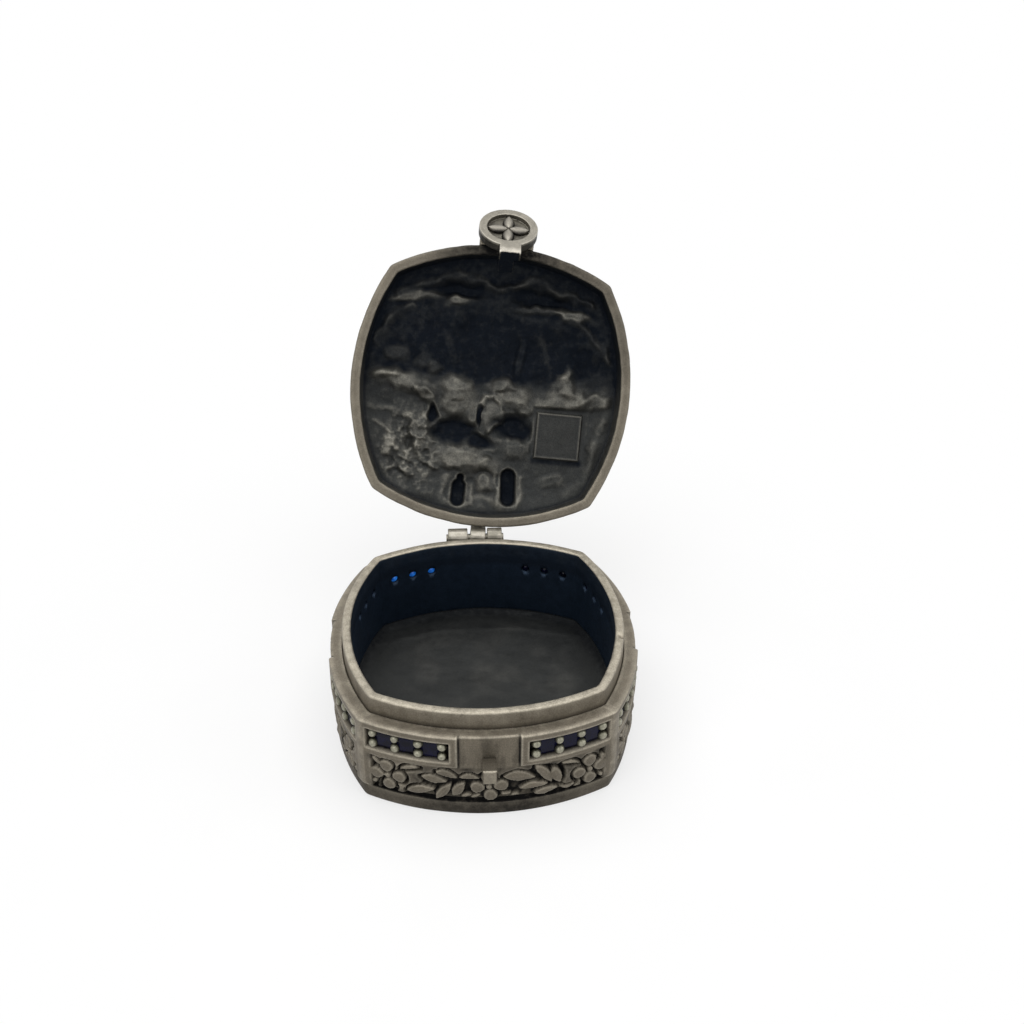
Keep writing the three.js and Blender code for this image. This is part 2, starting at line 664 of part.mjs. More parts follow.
// Four-petal flower that stands in the ring.
const flowerParts = [];
for (let k = 0; k < 4; k += 1) {
  const t = (k * Math.PI) / 2;
  const reach = 0.488 * RING_IN;
  const points = ellipse(reach * Math.cos(t), reach * Math.sin(t), 0.456 * RING_IN, 0.214 * RING_IN, t, 10)
    .map(([x, y]) => new THREE.Vector2(x, y));
  const g = new THREE.ExtrudeGeometry(new THREE.Shape(points), { depth: RECESS - FIT, bevelEnabled: false });
  g.rotateX(Math.PI / 2);
  g.translate(0, face + RECESS - FIT, -PIVOT_TO_DISC);
  flowerParts.push(solid(outwards(g)));
}
flowerParts.push(disc(0.093 * RING_IN, face, face + RECESS - FIT, 8));
add("clasp_flower", unite(flowerParts), brightSilver, claspPlace);
add("clasp_pin", rod(-CLASP_PIN_HALF, CLASP_PIN_HALF, 0, 0, CLASP_PIN_R, 12), brightSilver, claspPlace);

// Bracket on the lid's front wall. Its sloping face lies under the flap.
const seat = (REST_TILT + PRESS_IN) * degrees;
const along = (s) => [-HALF_D - 0.1 - s * Math.sin(seat), 0.12 + s * Math.cos(seat)];
const bossShape = slab([
  [-HALF_D + 0.9, 0.12], along(0), along(3.05), [PIVOT_Y + 0.48, PIVOT_H + 0.65],
  [PIVOT_Y + 0.7, PIVOT_H + 1.05], [-HALF_D + 0.9, PIVOT_H + 1.25],
].map(([y, h]) => [y, h + rimZ]), PIVOT_X - 3, PIVOT_X + 3);
const claspShut = new THREE.Matrix4().makeTranslation(PIVOT_X, PIVOT_Y, pivotZ).multiply(lean);
const bossR = 0.93 * DISC_R;
const bossRoundGeometry = new THREE.CylinderGeometry(bossR, bossR, 14, 36);
bossRoundGeometry.translate(0, 5, -PIVOT_TO_DISC);
bossRoundGeometry.applyMatrix4(claspShut);
const lug = slab(ellipse(PIVOT_Y, pivotZ, LUG_R, LUG_R, 0, 16), PIVOT_X - LUG_HALF, PIVOT_X + LUG_HALF)
  .add(slab([
    [PIVOT_Y - 0.1, pivotZ + 0.34], [PIVOT_Y + 0.2, pivotZ - 0.25],
    [PIVOT_Y + 1.1, pivotZ + 0.25], [PIVOT_Y + 1.1, pivotZ + 0.85],
  ], PIVOT_X - LUG_HALF, PIVOT_X + LUG_HALF));
const lidOuter = solid(loft([
  [-FIT, rimZ - 1], ...lidSide.map(([inset, z]) => [inset - FIT, z]), [CROWN_IN - FIT, rimZ + CROWN + FIT],
], false));
const pinWay = rod(PIVOT_X - 2, PIVOT_X + 2, PIVOT_Y, pivotZ, CLASP_PIN_R + CLASP_PLAY, 12);
const boss = bossShape.intersect(solid(bossRoundGeometry)).add(lug).subtract(lidOuter).subtract(pinWay);
add("clasp_boss", boss, silver, lidPlace);

export default part;
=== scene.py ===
# %% [markdown]
# # A small lotus box in oxidised silver
# The real thing is a hinged keepsake box, 28 mm wide. Its sides bow outwards, each carries
# two channels of square blue stones and a carved strip of flowers, and the lid leans back.
# The mechanical model gives the size and the joints; these cells give it its skin.

# %% Load the frame
import math
import bpy
import numpy as np
from mathutils import Matrix


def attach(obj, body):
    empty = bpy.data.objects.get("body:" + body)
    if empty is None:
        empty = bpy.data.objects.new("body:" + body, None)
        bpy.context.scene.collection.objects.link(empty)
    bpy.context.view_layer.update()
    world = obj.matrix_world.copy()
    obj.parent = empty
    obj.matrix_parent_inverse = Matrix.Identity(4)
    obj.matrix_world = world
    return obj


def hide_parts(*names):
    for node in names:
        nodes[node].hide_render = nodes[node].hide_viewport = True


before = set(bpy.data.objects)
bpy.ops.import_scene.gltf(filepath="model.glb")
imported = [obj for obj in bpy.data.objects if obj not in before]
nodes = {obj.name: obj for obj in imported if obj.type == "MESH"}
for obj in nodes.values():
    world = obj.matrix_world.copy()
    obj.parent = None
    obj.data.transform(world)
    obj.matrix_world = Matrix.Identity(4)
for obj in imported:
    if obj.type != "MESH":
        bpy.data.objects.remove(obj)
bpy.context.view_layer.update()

# %% [markdown]
# Every measure is in millimetres, as a silversmith would take it with a gauge, and is
# turned into metres only when a mesh is made. They are the same sizes that the solids have.

# %% Measures of the box
MM = 0.001
HALF_W, HALF_D, SIDE_R = 14.0, 14.05, 22.0
FOOT_TOP, SHOULDER_Z, LIP_TOP = 1.65, 9.13, 10.85
LEDGE, INSIDE = 1.12, 1.95
FRAME_IN, FRAME_IN_BACK, FRAME_LOW, FRAME_RISE = 2.7, 3.02, 5.7, 0.22
WINDOW_A, WINDOW_B, WINDOW_LOW, WINDOW_HIGH, WINDOW_DEEP = 3.45, 10.98, 6.28, 8.44, 0.38
STONES, STONE_Z = [5.13, 7.22, 9.31], 7.36
BEADS, BEAD_Z, BEAD_RISE = [4.085, 6.175, 8.265, 10.355], 7.35, 0.54
HOLE_Z = 7.95
AXIS_Y, AXIS_Z = 15.2, 9.35
RIM_Z = 9.17
CROWN_Z = RIM_Z + 4.05
PIVOT = (0.3, -17.23, RIM_Z + 1.85)
FLAP_MIDDLE = -2.55
OPEN, LEAN, CLASP_TILT = math.radians(121.0), math.radians(6.5), math.radians(44.1)
print("outside", 2 * HALF_W, "by", 2 * HALF_D, "mm, lip top at", LIP_TOP)

# %% [markdown]
# The lid is drawn shut and then leant back, exactly as it turns on its pin. The little
# sideways lean is the play of a worn hinge. The clasp hangs from the lid, so it goes along.

# %% Place the lid and the clasp
axis_there = Matrix.Translation((0, AXIS_Y, AXIS_Z))
axis_back = Matrix.Translation((0, -AXIS_Y, -AXIS_Z))
LID_PLACE = axis_there @ Matrix.Rotation(-OPEN, 4, "X") @ Matrix.Rotation(LEAN, 4, "Z") @ axis_back
CLASP_PLACE = LID_PLACE @ Matrix.Translation(PIVOT) @ Matrix.Rotation(CLASP_TILT, 4, "X")
print("lid turned by", round(math.degrees(OPEN)), "degrees")

# %% [markdown]
# A camera is a point, a direction and a lens. These three were found by laying the outlines
# of lip, shoulder, foot and lid over the picture: it looks down at 34 degrees, from a little
# left of the middle.

# %% Camera
pitch, yaw, roll = 0.5932, -0.0579, 0.0081
distance, target = 131.4562, np.array([2.5971, 0.0, 22.6289])
sensor, picture_width, lens_in_pixels = 36.0, 1024, 1504.4021
back = np.array([math.sin(yaw) * math.cos(pitch), -math.cos(yaw) * math.cos(pitch), math.sin(pitch)])
eye = target + back * distance
right = np.cross(-back, [0, 0, 1])
right /= np.linalg.norm(right)
up = np.cross(right, -back)
cos_roll, sin_roll = math.cos(roll), math.sin(roll)
right, up = cos_roll * right + sin_roll * up, cos_roll * up - sin_roll * right
camera = bpy.data.objects.new("camera", bpy.data.cameras.new("camera"))
bpy.context.scene.collection.objects.link(camera)
turn = Matrix((right, up, back)).transposed().to_4x4()
camera.matrix_world = Matrix.Translation(eye * MM) @ turn
camera.data.sensor_width = sensor
camera.data.lens = lens_in_pixels / picture_width * sensor
camera.data.clip_start = 0.005
bpy.context.scene.camera = camera
print("camera at", np.round(eye, 1), "mm, lens", round(camera.data.lens, 2))

# %% [markdown]
# Cast silver is never quite even. A cheap way to get that is lattice noise: a random number
# on each corner of a grid of cubes, with a smooth blend between them. Written with numpy it
# answers for a hundred thousand points at once, and a fixed seed gives the same metal each run.

# %% Noise, steps and distances
def lattice(ix, iy, iz, seed):
    """A number from -1 to 1 for each whole-number cell; large odd numbers stir the bits."""
    h = (ix * 374761393 + iy * 668265263 + iz * 2147483647 + seed * 1274126177) & 0xFFFFFFFF
    h = ((h ^ (h >> 13)) * 1274126177) & 0xFFFFFFFF
    h = ((h ^ (h >> 16)) * 1103515245) & 0xFFFFFFFF
    return ((h ^ (h >> 15)) & 0xFFFF) / 32767.5 - 1.0


def uneven(x, y, z, size, seed, octaves=1):
    """Smooth noise with bumps of about that size in mm."""
    total, gain = 0.0, 1.0
    for k in range(octaves):
        p = [np.asarray(v, float) / size * 2**k + 31.7 * k for v in (x, y, z)]
        c = [np.floor(v).astype(np.int64) for v in p]
        f = [v - b for v, b in zip(p, c)]
        s = [v * v * v * (v * (v * 6 - 15) + 10) for v in f]
        value = 0.0
        for dx in (0, 1):
            for dy in (0, 1):
                for dz in (0, 1):
                    w = (s[0] if dx else 1 - s[0]) * (s[1] if dy else 1 - s[1]) * (s[2] if dz else 1 - s[2])
                    value = value + w * lattice(c[0] + dx, c[1] + dy, c[2] + dz, seed + k)
        total = total + gain * value
        gain *= 0.5
    return total


def step(a, b, v):
    """0 where v is at a, 1 where it is at b, smooth between."""
    t = np.clip((v - a) / (b - a), 0, 1)
    return t * t * (3 - 2 * t)


def bell(v, wide):
    """1 where v is 0, falling away on both sides over about that width."""
    return np.exp(-((v / wide) ** 2))


def to_line(x, y, points):
    """Distance to a line through points."""
    best = np.full(np.shape(x), 1e9)
    for (ax, ay), (bx, by) in zip(points[:-1], points[1:]):
        dx, dy = bx - ax, by - ay
        t = np.clip(((x - ax) * dx + (y - ay) * dy) / (dx * dx + dy * dy), 0, 1)
        best = np.minimum(best, np.hypot(x - ax - t * dx, y - ay - t * dy))
    return best


print("noise check", np.round(uneven([0.2, 1.4], [0, 0], [0, 0], 1.0, 3), 3))

# %% [markdown]
# The plan of the box is a square with four bowed sides. One function walks round it, at any
# distance in from the wall, and also tells which way is out and how far along a side each
# point is. Wall, lip, foot, floor and lid all use it, so they stay parallel.

# %% Walk round the plan
CORNER_ALONG = 11.6


def walk(inset, per_side, corner=4):
    """Points, outward directions, distances along a side and side numbers, anticlockwise from the front."""
    r = SIDE_R - inset
    fy, sx = SIDE_R - HALF_D, SIDE_R - HALF_W
    half = math.hypot(fy, sx) / 2
    h = math.sqrt(r * r - half * half)
    cx = -sx / 2 + h * fy / (2 * half)
    cy = fy / 2 - h * sx / (2 * half)
    soft = min(0.26, (HALF_W - inset) * 0.2) / r
    a, b = math.asin(cx / r) - soft, math.asin(-cy / r) - soft
    t = np.linspace(-1, 1, per_side)
    front = np.c_[r * np.sin(a * t), fy - r * np.cos(a * t)]
    side = np.c_[-sx + r * np.cos(b * t), r * np.sin(b * t)]
    out_front = np.c_[np.sin(a * t), -np.cos(a * t)]
    out_side = np.c_[np.cos(b * t), np.sin(b * t)]
    q = (np.arange(corner) + 1)[:, None] / (corner + 1)

    def bend(p, c, s, n0, n1):
        xy = (1 - q) ** 2 * p + 2 * q * (1 - q) * np.array(c) + q * q * s
        n = (1 - q) * n0 + q * n1
        return xy, n / np.linalg.norm(n, axis=1)[:, None]

    one, n_one = bend(front[-1], (cx, cy), side[0], out_front[-1], out_side[0])
    two, n_two = bend(side[-1], (cx, -cy), -front[0], out_side[-1], -out_front[0])
    xy = np.vstack([front, one, side, two])
    out = np.vstack([out_front, n_one, out_side, n_two])
    ends = np.full(corner, CORNER_ALONG)
    along = np.r_[a * t * SIDE_R, ends, b * t * SIDE_R, ends]
    number = np.repeat([0.0, 1.0], per_side + corner)
    return np.vstack([xy, -xy]), np.vstack([out, -out]), np.r_[along, along], np.r_[number, number + 2]


def lean_in(z):
    """The wall leans in a little towards the foot."""
    return 0.3 * np.maximum(0, 1 - np.asarray(z) / 4.5) ** 2


print("points round the plan", len(walk(0, 60)[0]))

# %% [markdown]
# A mesh is points and faces. Most pieces here are grids: rings of points, one above the
# other, that close on themselves. The next cell turns such a grid into an object that rides
# on its part of the mechanism.

# %% Make a piece
def rings_to_faces(rows, count, loop):
    """Four-sided faces between rings; loop joins the last ring to the first."""
    r = np.arange(rows if loop else rows - 1)[:, None] * count
    i = np.arange(count)[None, :]
    j = (i + 1) % count
    up = ((r // count + 1) % rows) * count
    return np.stack([r + i, r + j, up + j, up + i], axis=-1).reshape(-1, 4)


def tube(rows, count, start=0, flip=False, first_end=True):
    """Faces of a tube of rings that begins at that point, with its ends closed."""
    faces = [tuple(start + f) for f in rings_to_faces(rows, count, False)]
    if first_end:
        faces.append(tuple(range(start + count - 1, start - 1, -1)))
    last = start + (rows - 1) * count
    faces.append(tuple(range(last, last + count)))
    return [f[::-1] for f in faces] if flip else faces


def piece(name, points, faces, body, materials, replaced=(), place=None, material_index=None, smooth=True):
    """An object from points in mm, riding on a body of the mechanism."""
    mesh = bpy.data.meshes.new(name)
    mesh.from_pydata((np.asarray(points, float) * MM).tolist(), [], [list(map(int, f)) for f in faces])
    if place is not None:
        at = place.copy()
        at.translation = at.translation * MM
        mesh.transform(at)
    mesh.validate()
    obj = bpy.data.objects.new(name, mesh)
    bpy.context.scene.collection.objects.link(obj)
    for m in materials:
        mesh.materials.append(m)
    if material_index is not None:
        mesh.polygons.foreach_set("material_index", np.asarray(material_index, np.int32))
    mesh.polygons.foreach_set("use_smooth", np.full(len(mesh.polygons), smooth))
    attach(obj, body)
    if replaced:
        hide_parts(*replaced)
    return obj


print("pieces can be made")

# %% [markdown]
# Old silver is bright where a thumb rubs it and black where none can reach. To find such
# places the mesh is compared with a smoothed copy of itself: what stands proud of the copy
# is worn, and what lies under it is hollow. Both are stored as numbers on the points.

# %% Mark wear on a piece
def per_point(obj, label):
    """The places in mm, or the normals, of the points of a piece."""
    values = np.zeros(len(obj.data.vertices) * 3)
    obj.data.vertices.foreach_get(label, values)
    return values.reshape(-1, 3) * (1000 if label == "co" else 1)


def paint(obj, label, values):
    """Store a mask on the points of a piece."""
    layer = obj.data.attributes.get(label) or obj.data.attributes.new(label, "FLOAT", "POINT")
    layer.data.foreach_set("value", np.asarray(values, np.float32))


def mark_wear(obj, fine=0.02, fine_rounds=8, broad=0.08, broad_rounds=40):
    """Masks worn and hollow: full at that height over, or depth under, a copy smoothed that often."""
    mesh, co, normal = obj.data, per_point(obj, "co"), per_point(obj, "normal")
    n = len(co)
    edge = np.zeros(len(mesh.edges) * 2, np.int64)
    mesh.edges.foreach_get("vertices", edge)
    a, b = edge.reshape(-1, 2).T
    share = np.maximum(np.bincount(a, minlength=n) + np.bincount(b, minlength=n), 1)
    flat, masks = co.copy(), {}
    wanted = {fine_rounds: ("worn", fine), broad_rounds: ("hollow", -broad)}
    for k in range(1, max(wanted) + 1):
        total = np.stack([np.bincount(a, flat[b, i], n) + np.bincount(b, flat[a, i], n) for i in range(3)], 1)
        flat = 0.5 * flat + 0.5 * total / share[:, None]
        if k in wanted:
            label, full = wanted[k]
            masks[label] = np.clip(((co - flat) * normal).sum(1) / full, 0, 1)
            paint(obj, label, masks[label])
    return masks


print("wear can be marked")

# %% [markdown]
# A material is a small graph of nodes. These helpers add a node and wire it in one line, so the
# graphs below read like formulas: a sum, a blend of two colours, a noise, a change of range.

# %% Node helpers
def node(tree, kind, **settings):
    n = tree.nodes.new(kind)
    for key, value in settings.items():
        setattr(n, key, value)
    return n


def feed(tree, value, socket):
    """Link another node's output to a socket, or write a plain value into it."""
    if hasattr(value, "is_linked"):
        tree.links.new(value, socket)
    else:
        socket.default_value = value


def math_node(tree, operation, a, b, clamp=False):
    n = node(tree, "ShaderNodeMath", operation=operation, use_clamp=clamp)
    feed(tree, a, n.inputs[0])
    feed(tree, b, n.inputs[1])
    return n.outputs[0]


def mix_colour(tree, factor, a, b, blend="MIX"):
    n = node(tree, "ShaderNodeMix", data_type="RGBA", blend_type=blend)
    factor_in, a_in, b_in = n.inputs[0], n.inputs[6], n.inputs[7]
    for value, socket in ((factor, factor_in), (a, a_in), (b, b_in)):
        feed(tree, value, socket)
    return n.outputs[2]


def speckle(tree, place, scale, detail, rough=0.55, stretch=None):
    """Noise in the object's own space; scale is in bumps per metre."""
    if stretch:
        m = node(tree, "ShaderNodeMapping")
        m.inputs["Scale"].default_value = stretch
        tree.links.new(place, m.inputs["Vector"])
        place = m.outputs["Vector"]
    n = node(tree, "ShaderNodeTexNoise")
    for key, value in (("Scale", scale), ("Detail", detail), ("Roughness", rough), ("Vector", place)):
        feed(tree, value, n.inputs[key])
    return n.outputs["Fac"]


def span(tree, value, low, high, a=0.0, b=1.0):
    """Change the range from low and high to a and b."""
    n = node(tree, "ShaderNodeMapRange", clamp=True)
    for key, v in (("Value", value), ("From Min", low), ("From Max", high), ("To Min", a), ("To Max", b)):
        feed(tree, v, n.inputs[key])
    return n.outputs["Result"]


print("node helpers ready")

# %% [markdown]
# Oxidised silver is bright metal with a dark skin that stays in the hollows and is rubbed off
# the edges. Two masks made from the shape steer a node group that mixes a base tone, a bright
# tone and a dark tone, and adds mottling, grain and fine scratches. The bright mask holds wear
# and painted highlights, the dark mask patina and painted shade. The group gives colours and
# values only; the shader itself stays in each material.

# %% The skin of oxidised silver
skin = bpy.data.node_groups.new("oxidised_skin", "ShaderNodeTree")
for name, kind in (("Worn", "Float"), ("Hollow", "Float"), ("Base", "Color"), ("Rubbed_and_lit", "Color"),
                   ("Dark", "Color"), ("Mottle", "Float"), ("Gloss", "Float")):
    skin.interface.new_socket(name, in_out="INPUT", socket_type="NodeSocket" + kind)
for name, kind in (("Color", "Color"), ("Roughness", "Float"), ("Height", "Float")):
    skin.interface.new_socket(name, in_out="OUTPUT", socket_type="NodeSocket" + kind)
given = node(skin, "NodeGroupInput")
result = node(skin, "NodeGroupOutput")
where = node(skin, "ShaderNodeTexCoord").outputs["Object"]
# From clouds two millimetres wide to a grain of a tenth of a millimetre.
cloud = speckle(skin, where, 420, 3)
patch = speckle(skin, where, 1500, 4, 0.6)
grain = speckle(skin, where, 9000, 3, 0.65)
strokes = speckle(skin, where, 2600, 3, 0.6, (1.0, 1.0, 0.12))
scratch = speckle(skin, where, 2400, 2, 0.5, (0.12, 0.5, 1.6))
patchy_bright = span(skin, patch, 0.3, 0.62, 0.62, 1.0)
patchy_bright = math_node(skin, "MULTIPLY", given.outputs["Worn"], patchy_bright, True)
patchy_dark = span(skin, patch, 0.25, 0.6, 0.75, 1.15)
patchy_dark = math_node(skin, "MULTIPLY", given.outputs["Hollow"], patchy_dark, True)
tone = mix_colour(skin, patchy_bright, given.outputs["Base"], given.outputs["Rubbed_and_lit"])
tone = mix_colour(skin, patchy_dark, tone, given.outputs["Dark"])
flecks = math_node(skin, "ADD", span(skin, cloud, 0.3, 0.7, -0.4, 0.4), span(skin, patch, 0.3, 0.7, -0.4, 0.4))
flecks = math_node(skin, "ADD", flecks, span(skin, strokes, 0.3, 0.7, -0.2, 0.2))
flecks = math_node(skin, "ADD", flecks, span(skin, grain, 0.36, 0.64, -0.85, 0.85))
flecks = math_node(skin, "MULTIPLY", flecks, given.outputs["Mottle"])
lighter = math_node(skin, "ADD", flecks, 1.0)
lighter_colour = node(skin, "ShaderNodeCombineColor")
for i in range(3):
    skin.links.new(lighter, lighter_colour.inputs[i])
skin.links.new(mix_colour(skin, 1.0, tone, lighter_colour.outputs[0], "MULTIPLY"), result.inputs["Color"])
shine = math_node(skin, "SUBTRACT", given.outputs["Gloss"], math_node(skin, "MULTIPLY", patchy_bright, 0.1))
shine = math_node(skin, "ADD", shine, math_node(skin, "MULTIPLY", patchy_dark, 0.18))
shine = math_node(skin, "ADD", shine, span(skin, patch, 0.3, 0.7, -0.06, 0.08), True)
skin.links.new(shine, result.inputs["Roughness"])
bumps = math_node(skin, "ADD", math_node(skin, "MULTIPLY", grain, 0.5), math_node(skin, "MULTIPLY", strokes, 0.5))
bumps = math_node(skin, "ADD", bumps, math_node(skin, "MULTIPLY", scratch, 0.4))
bumps = math_node(skin, "ADD", bumps, math_node(skin, "MULTIPLY", patch, 0.8))
skin.links.new(bumps, result.inputs["Height"])
print("skin group:", len(skin.nodes), "nodes")

# %% [markdown]
# Six metals share that skin and differ only in their numbers. Colours are written as they
# would look in a picture, from 0 to 255, and a short formula turns them into amounts of light.

# %% Metals that use the skin
def colour(r, g, b):
    """A colour as seen on screen, 0 to 255, turned into light."""
    seen = [v / 255 for v in (r, g, b)]
    return tuple(v / 12.92 if v <= 0.04045 else ((v + 0.055) / 1.055) ** 2.4 for v in seen) + (1.0,)


# The rubbed colour is the bright tone, for wear and for painted highlights; the dark colour is for patina and for
# painted shade.
def metal(name, base, rubbed, dark, gloss, mottle, bump, metallic=0.85, reflect=0.5):
    m = bpy.data.materials.new(name)
    m.use_nodes = True
    tree = m.node_tree
    shader = tree.nodes["Principled BSDF"]
    group = node(tree, "ShaderNodeGroup", node_tree=skin)
    for key, value in (("Base", colour(*base)), ("Rubbed_and_lit", colour(*rubbed)), ("Dark", colour(*dark)),
                       ("Gloss", gloss), ("Mottle", mottle)):
        group.inputs[key].default_value = value
    for key in ("worn", "hollow"):
        mask = node(tree, "ShaderNodeAttribute", attribute_name=key)
        tree.links.new(mask.outputs["Fac"], group.inputs[key.capitalize()])
    tree.links.new(group.outputs["Color"], shader.inputs["Base Color"])
    tree.links.new(group.outputs["Roughness"], shader.inputs["Roughness"])
    bump_node = node(tree, "ShaderNodeBump")
    bump_node.inputs["Strength"].default_value = bump
    bump_node.inputs["Distance"].default_value = 0.04 * MM
    tree.links.new(group.outputs["Height"], bump_node.inputs["Height"])
    tree.links.new(bump_node.outputs["Normal"], shader.inputs["Normal"])
    shader.inputs["Metallic"].default_value = metallic
    shader.inputs["Specular IOR Level"].default_value = reflect
    return m


satin = metal("satin_silver", (107, 100, 88), (166, 159, 144), (13, 12, 12),
              gloss=0.58, mottle=0.22, bump=0.9, metallic=0.8)
grain_silver = metal("grain_silver", (92, 91, 78), (168, 165, 148), (28, 28, 22),
                     gloss=0.42, mottle=0.2, bump=0.4)
bright = metal("rubbed_silver", (116, 112, 102), (196, 190, 178), (28, 26, 24),
               gloss=0.4, mottle=0.16, bump=0.4)
black = metal("black_patina_and_shade", (47, 48, 47), (124, 121, 112), (8, 14, 22),
              gloss=0.56, mottle=0.3, bump=0.8, metallic=0.7, reflect=0.25)
inside_dark = metal("inner_wall_patina", (31, 43, 58), (60, 62, 62), (8, 11, 16),
                    gloss=0.5, mottle=0.2, bump=0.3, metallic=0.7, reflect=0.3)
floor_metal = metal("floor_patina", (53, 54, 53), (84, 83, 79), (20, 22, 24),
                    gloss=0.52, mottle=0.1, bump=0.3, metallic=0.8)
print("metals:", [m.name for m in (satin, grain_silver, bright, black, inside_dark, floor_metal)])

# %% [markdown]
# Faint clouds between two colours are wanted in the stones and in the paper under the box. As
# they are used more than once they are a node group too, with its size and colours as sockets.

# %% Clouds
clouds = bpy.data.node_groups.new("soft_clouds", "ShaderNodeTree")
for name, kind, way in (("Scale", "Float", "INPUT"), ("Deep", "Color", "INPUT"), ("Pale", "Color", "INPUT"),
                        ("Color", "Color", "OUTPUT"), ("Amount", "Float", "OUTPUT")):
    clouds.interface.new_socket(name, in_out=way, socket_type="NodeSocket" + kind)
given = node(clouds, "NodeGroupInput")
result = node(clouds, "NodeGroupOutput")
noise = node(clouds, "ShaderNodeTexNoise")
noise.inputs["Detail"].default_value = 3.0
clouds.links.new(node(clouds, "ShaderNodeTexCoord").outputs["Object"], noise.inputs["Vector"])
clouds.links.new(given.outputs["Scale"], noise.inputs["Scale"])
amount = span(clouds, noise.outputs["Fac"], 0.3, 0.7)
clouds.links.new(amount, result.inputs["Amount"])
clouds.links.new(mix_colour(clouds, amount, given.outputs["Deep"], given.outputs["Pale"]), result.inputs["Color"])


def cloudy(tree, scale, deep, pale):
    """The clouds in one material: their colour and how pale they are."""
    group = node(tree, "ShaderNodeGroup", node_tree=clouds)
    for key, value in (("Scale", scale), ("Deep", deep), ("Pale", pale)):
        group.inputs[key].default_value = value
    return group.outputs["Color"], group.outputs["Amount"]


print("clouds group:", len(clouds.nodes), "nodes")

# %% [markdown]
# The stones are dark blue and cut square. A shader for such a stone needs little: a deep
# colour and a smooth surface. Where light comes through from behind, a little glow of the
# same blue is enough.

# %% Stone
SAPPHIRE_IOR = 1.76
stone_blue = bpy.data.materials.new("blue_stone")
stone_blue.use_nodes = True
tree = stone_blue.node_tree
shader = tree.nodes["Principled BSDF"]
tint, amount = cloudy(tree, 1300, colour(2, 2, 13), colour(9, 9, 40))
tree.links.new(tint, shader.inputs["Base Color"])
tree.links.new(span(tree, amount, 0, 1, 0.16, 0.3), shader.inputs["Roughness"])
shader.inputs["IOR"].default_value = SAPPHIRE_IOR
shader.inputs["Specular IOR Level"].default_value = 0.07
lit_stone = bpy.data.materials.new("stone_with_light_behind")
lit_stone.use_nodes = True
tree = lit_stone.node_tree
shader = tree.nodes["Principled BSDF"]
tint, amount = cloudy(tree, 3000, colour(10, 40, 110), colour(30, 90, 180))
glow = mix_colour(tree, amount, colour(6, 50, 140), colour(40, 130, 225))
tree.links.new(tint, shader.inputs["Base Color"])
tree.links.new(glow, shader.inputs["Emission Color"])
shader.inputs["Emission Strength"].default_value = 0.45
shader.inputs["Roughness"].default_value = 0.2
print("stones ready")

# %% [markdown]
# The frieze is carved: each flower and leaf stands in a sunken ground that is cut close round
# it, and is wide open along the foot and beside the middle flower. A height for each point of
# the wall gives this best, because a cut edge can then be as crisp or as soft as a graver's.

# %% Leaves and flowers
# Places are distances along the side and heights over the table, in mm.
BLOSSOMS = [(-9.0, 3.62), (0.0, 3.38), (9.15, 3.5)]
# Foot and tip of each leaf, its width and how far it bows.
LEAVES = [
    (-7.3, 2.3, -4.7, 2.95, 0.95, 0.1), (-4.7, 1.8, -3.35, 3.65, 0.85, -0.05),
    (-3.2, 2.25, -2.15, 3.9, 0.95, 0.0), (-5.95, 4.35, -3.65, 3.85, 0.85, 0.05),
    (-4.65, 5.1, -2.75, 4.4, 0.75, 0.08), (-2.65, 4.45, -0.8, 4.4, 0.6, 0.2),
    (-7.85, 4.75, -6.0, 5.25, 0.4, 0.12), (1.2, 4.55, 4.1, 4.05, 1.1, 0.12), (4.05, 5.5, 5.55, 3.2, 0.85, 0.1),
    (5.65, 4.85, 6.35, 2.95, 0.95, -0.05), (2.65, 2.9, 5.2, 3.2, 0.7, 0.08), (4.0, 2.0, 6.15, 2.45, 0.7, 0.1),
    (6.25, 2.45, 7.8, 2.45, 0.35, -0.3), (6.4, 5.15, 8.2, 4.6, 0.4, 0.18), (-2.45, 2.15, -1.5, 2.45, 0.3, 0.05),
    (-1.6, 2.1, -0.75, 2.5, 0.3, -0.05), (1.0, 2.45, 1.9, 2.5, 0.3, -0.05), (1.9, 2.15, 2.7, 2.2, 0.3, 0.1),
    (-10.4, 5.35, -9.7, 4.7, 0.4, 0.0), (10.3, 4.85, 10.5, 4.1, 0.4, 0.0), (10.45, 2.1, 10.2, 2.6, 0.4, 0.0),
    (-10.45, 2.3, -10.1, 2.75, 0.4, 0.0),
]


def leaf_depth(u, z, u0, z0, u1, z1, wide, bow):
    """How far inside the outline of a pointed leaf a point is, in mm."""
    dx, dz = u1 - u0, z1 - z0
    length = math.hypot(dx, dz)
    x = ((u - u0) * dx + (z - z0) * dz) / length
    y = (-(u - u0) * dz + (z - z0) * dx) / length
    t = np.clip(x / length, 0, 1)
    y = y - bow * 4 * t * (1 - t)
    half = 0.5 * wide * np.sin(np.pi * t**0.85) ** 0.8
    inside = (half - np.abs(y)) * 0.93
    outside = -np.hypot(x - t * length, y)
    return np.where((x > 0) & (x < length), inside, outside)


def petal_depth(x, y):
    """How far inside a round petal a point is, seen from the petal's middle."""
    return (1 - np.hypot(x / 0.64, y / (0.6 + 0.16 * x))) * 0.6


print("leaves", len(LEAVES), "flowers", len(BLOSSOMS))

# %% [markdown]
# At each point of the strip the deepest flower or leaf counts. The ground is cut away for a
# fraction of a millimetre round them, and all of it where they stand close together, along
# the foot, beside the middle flower and at both ends.

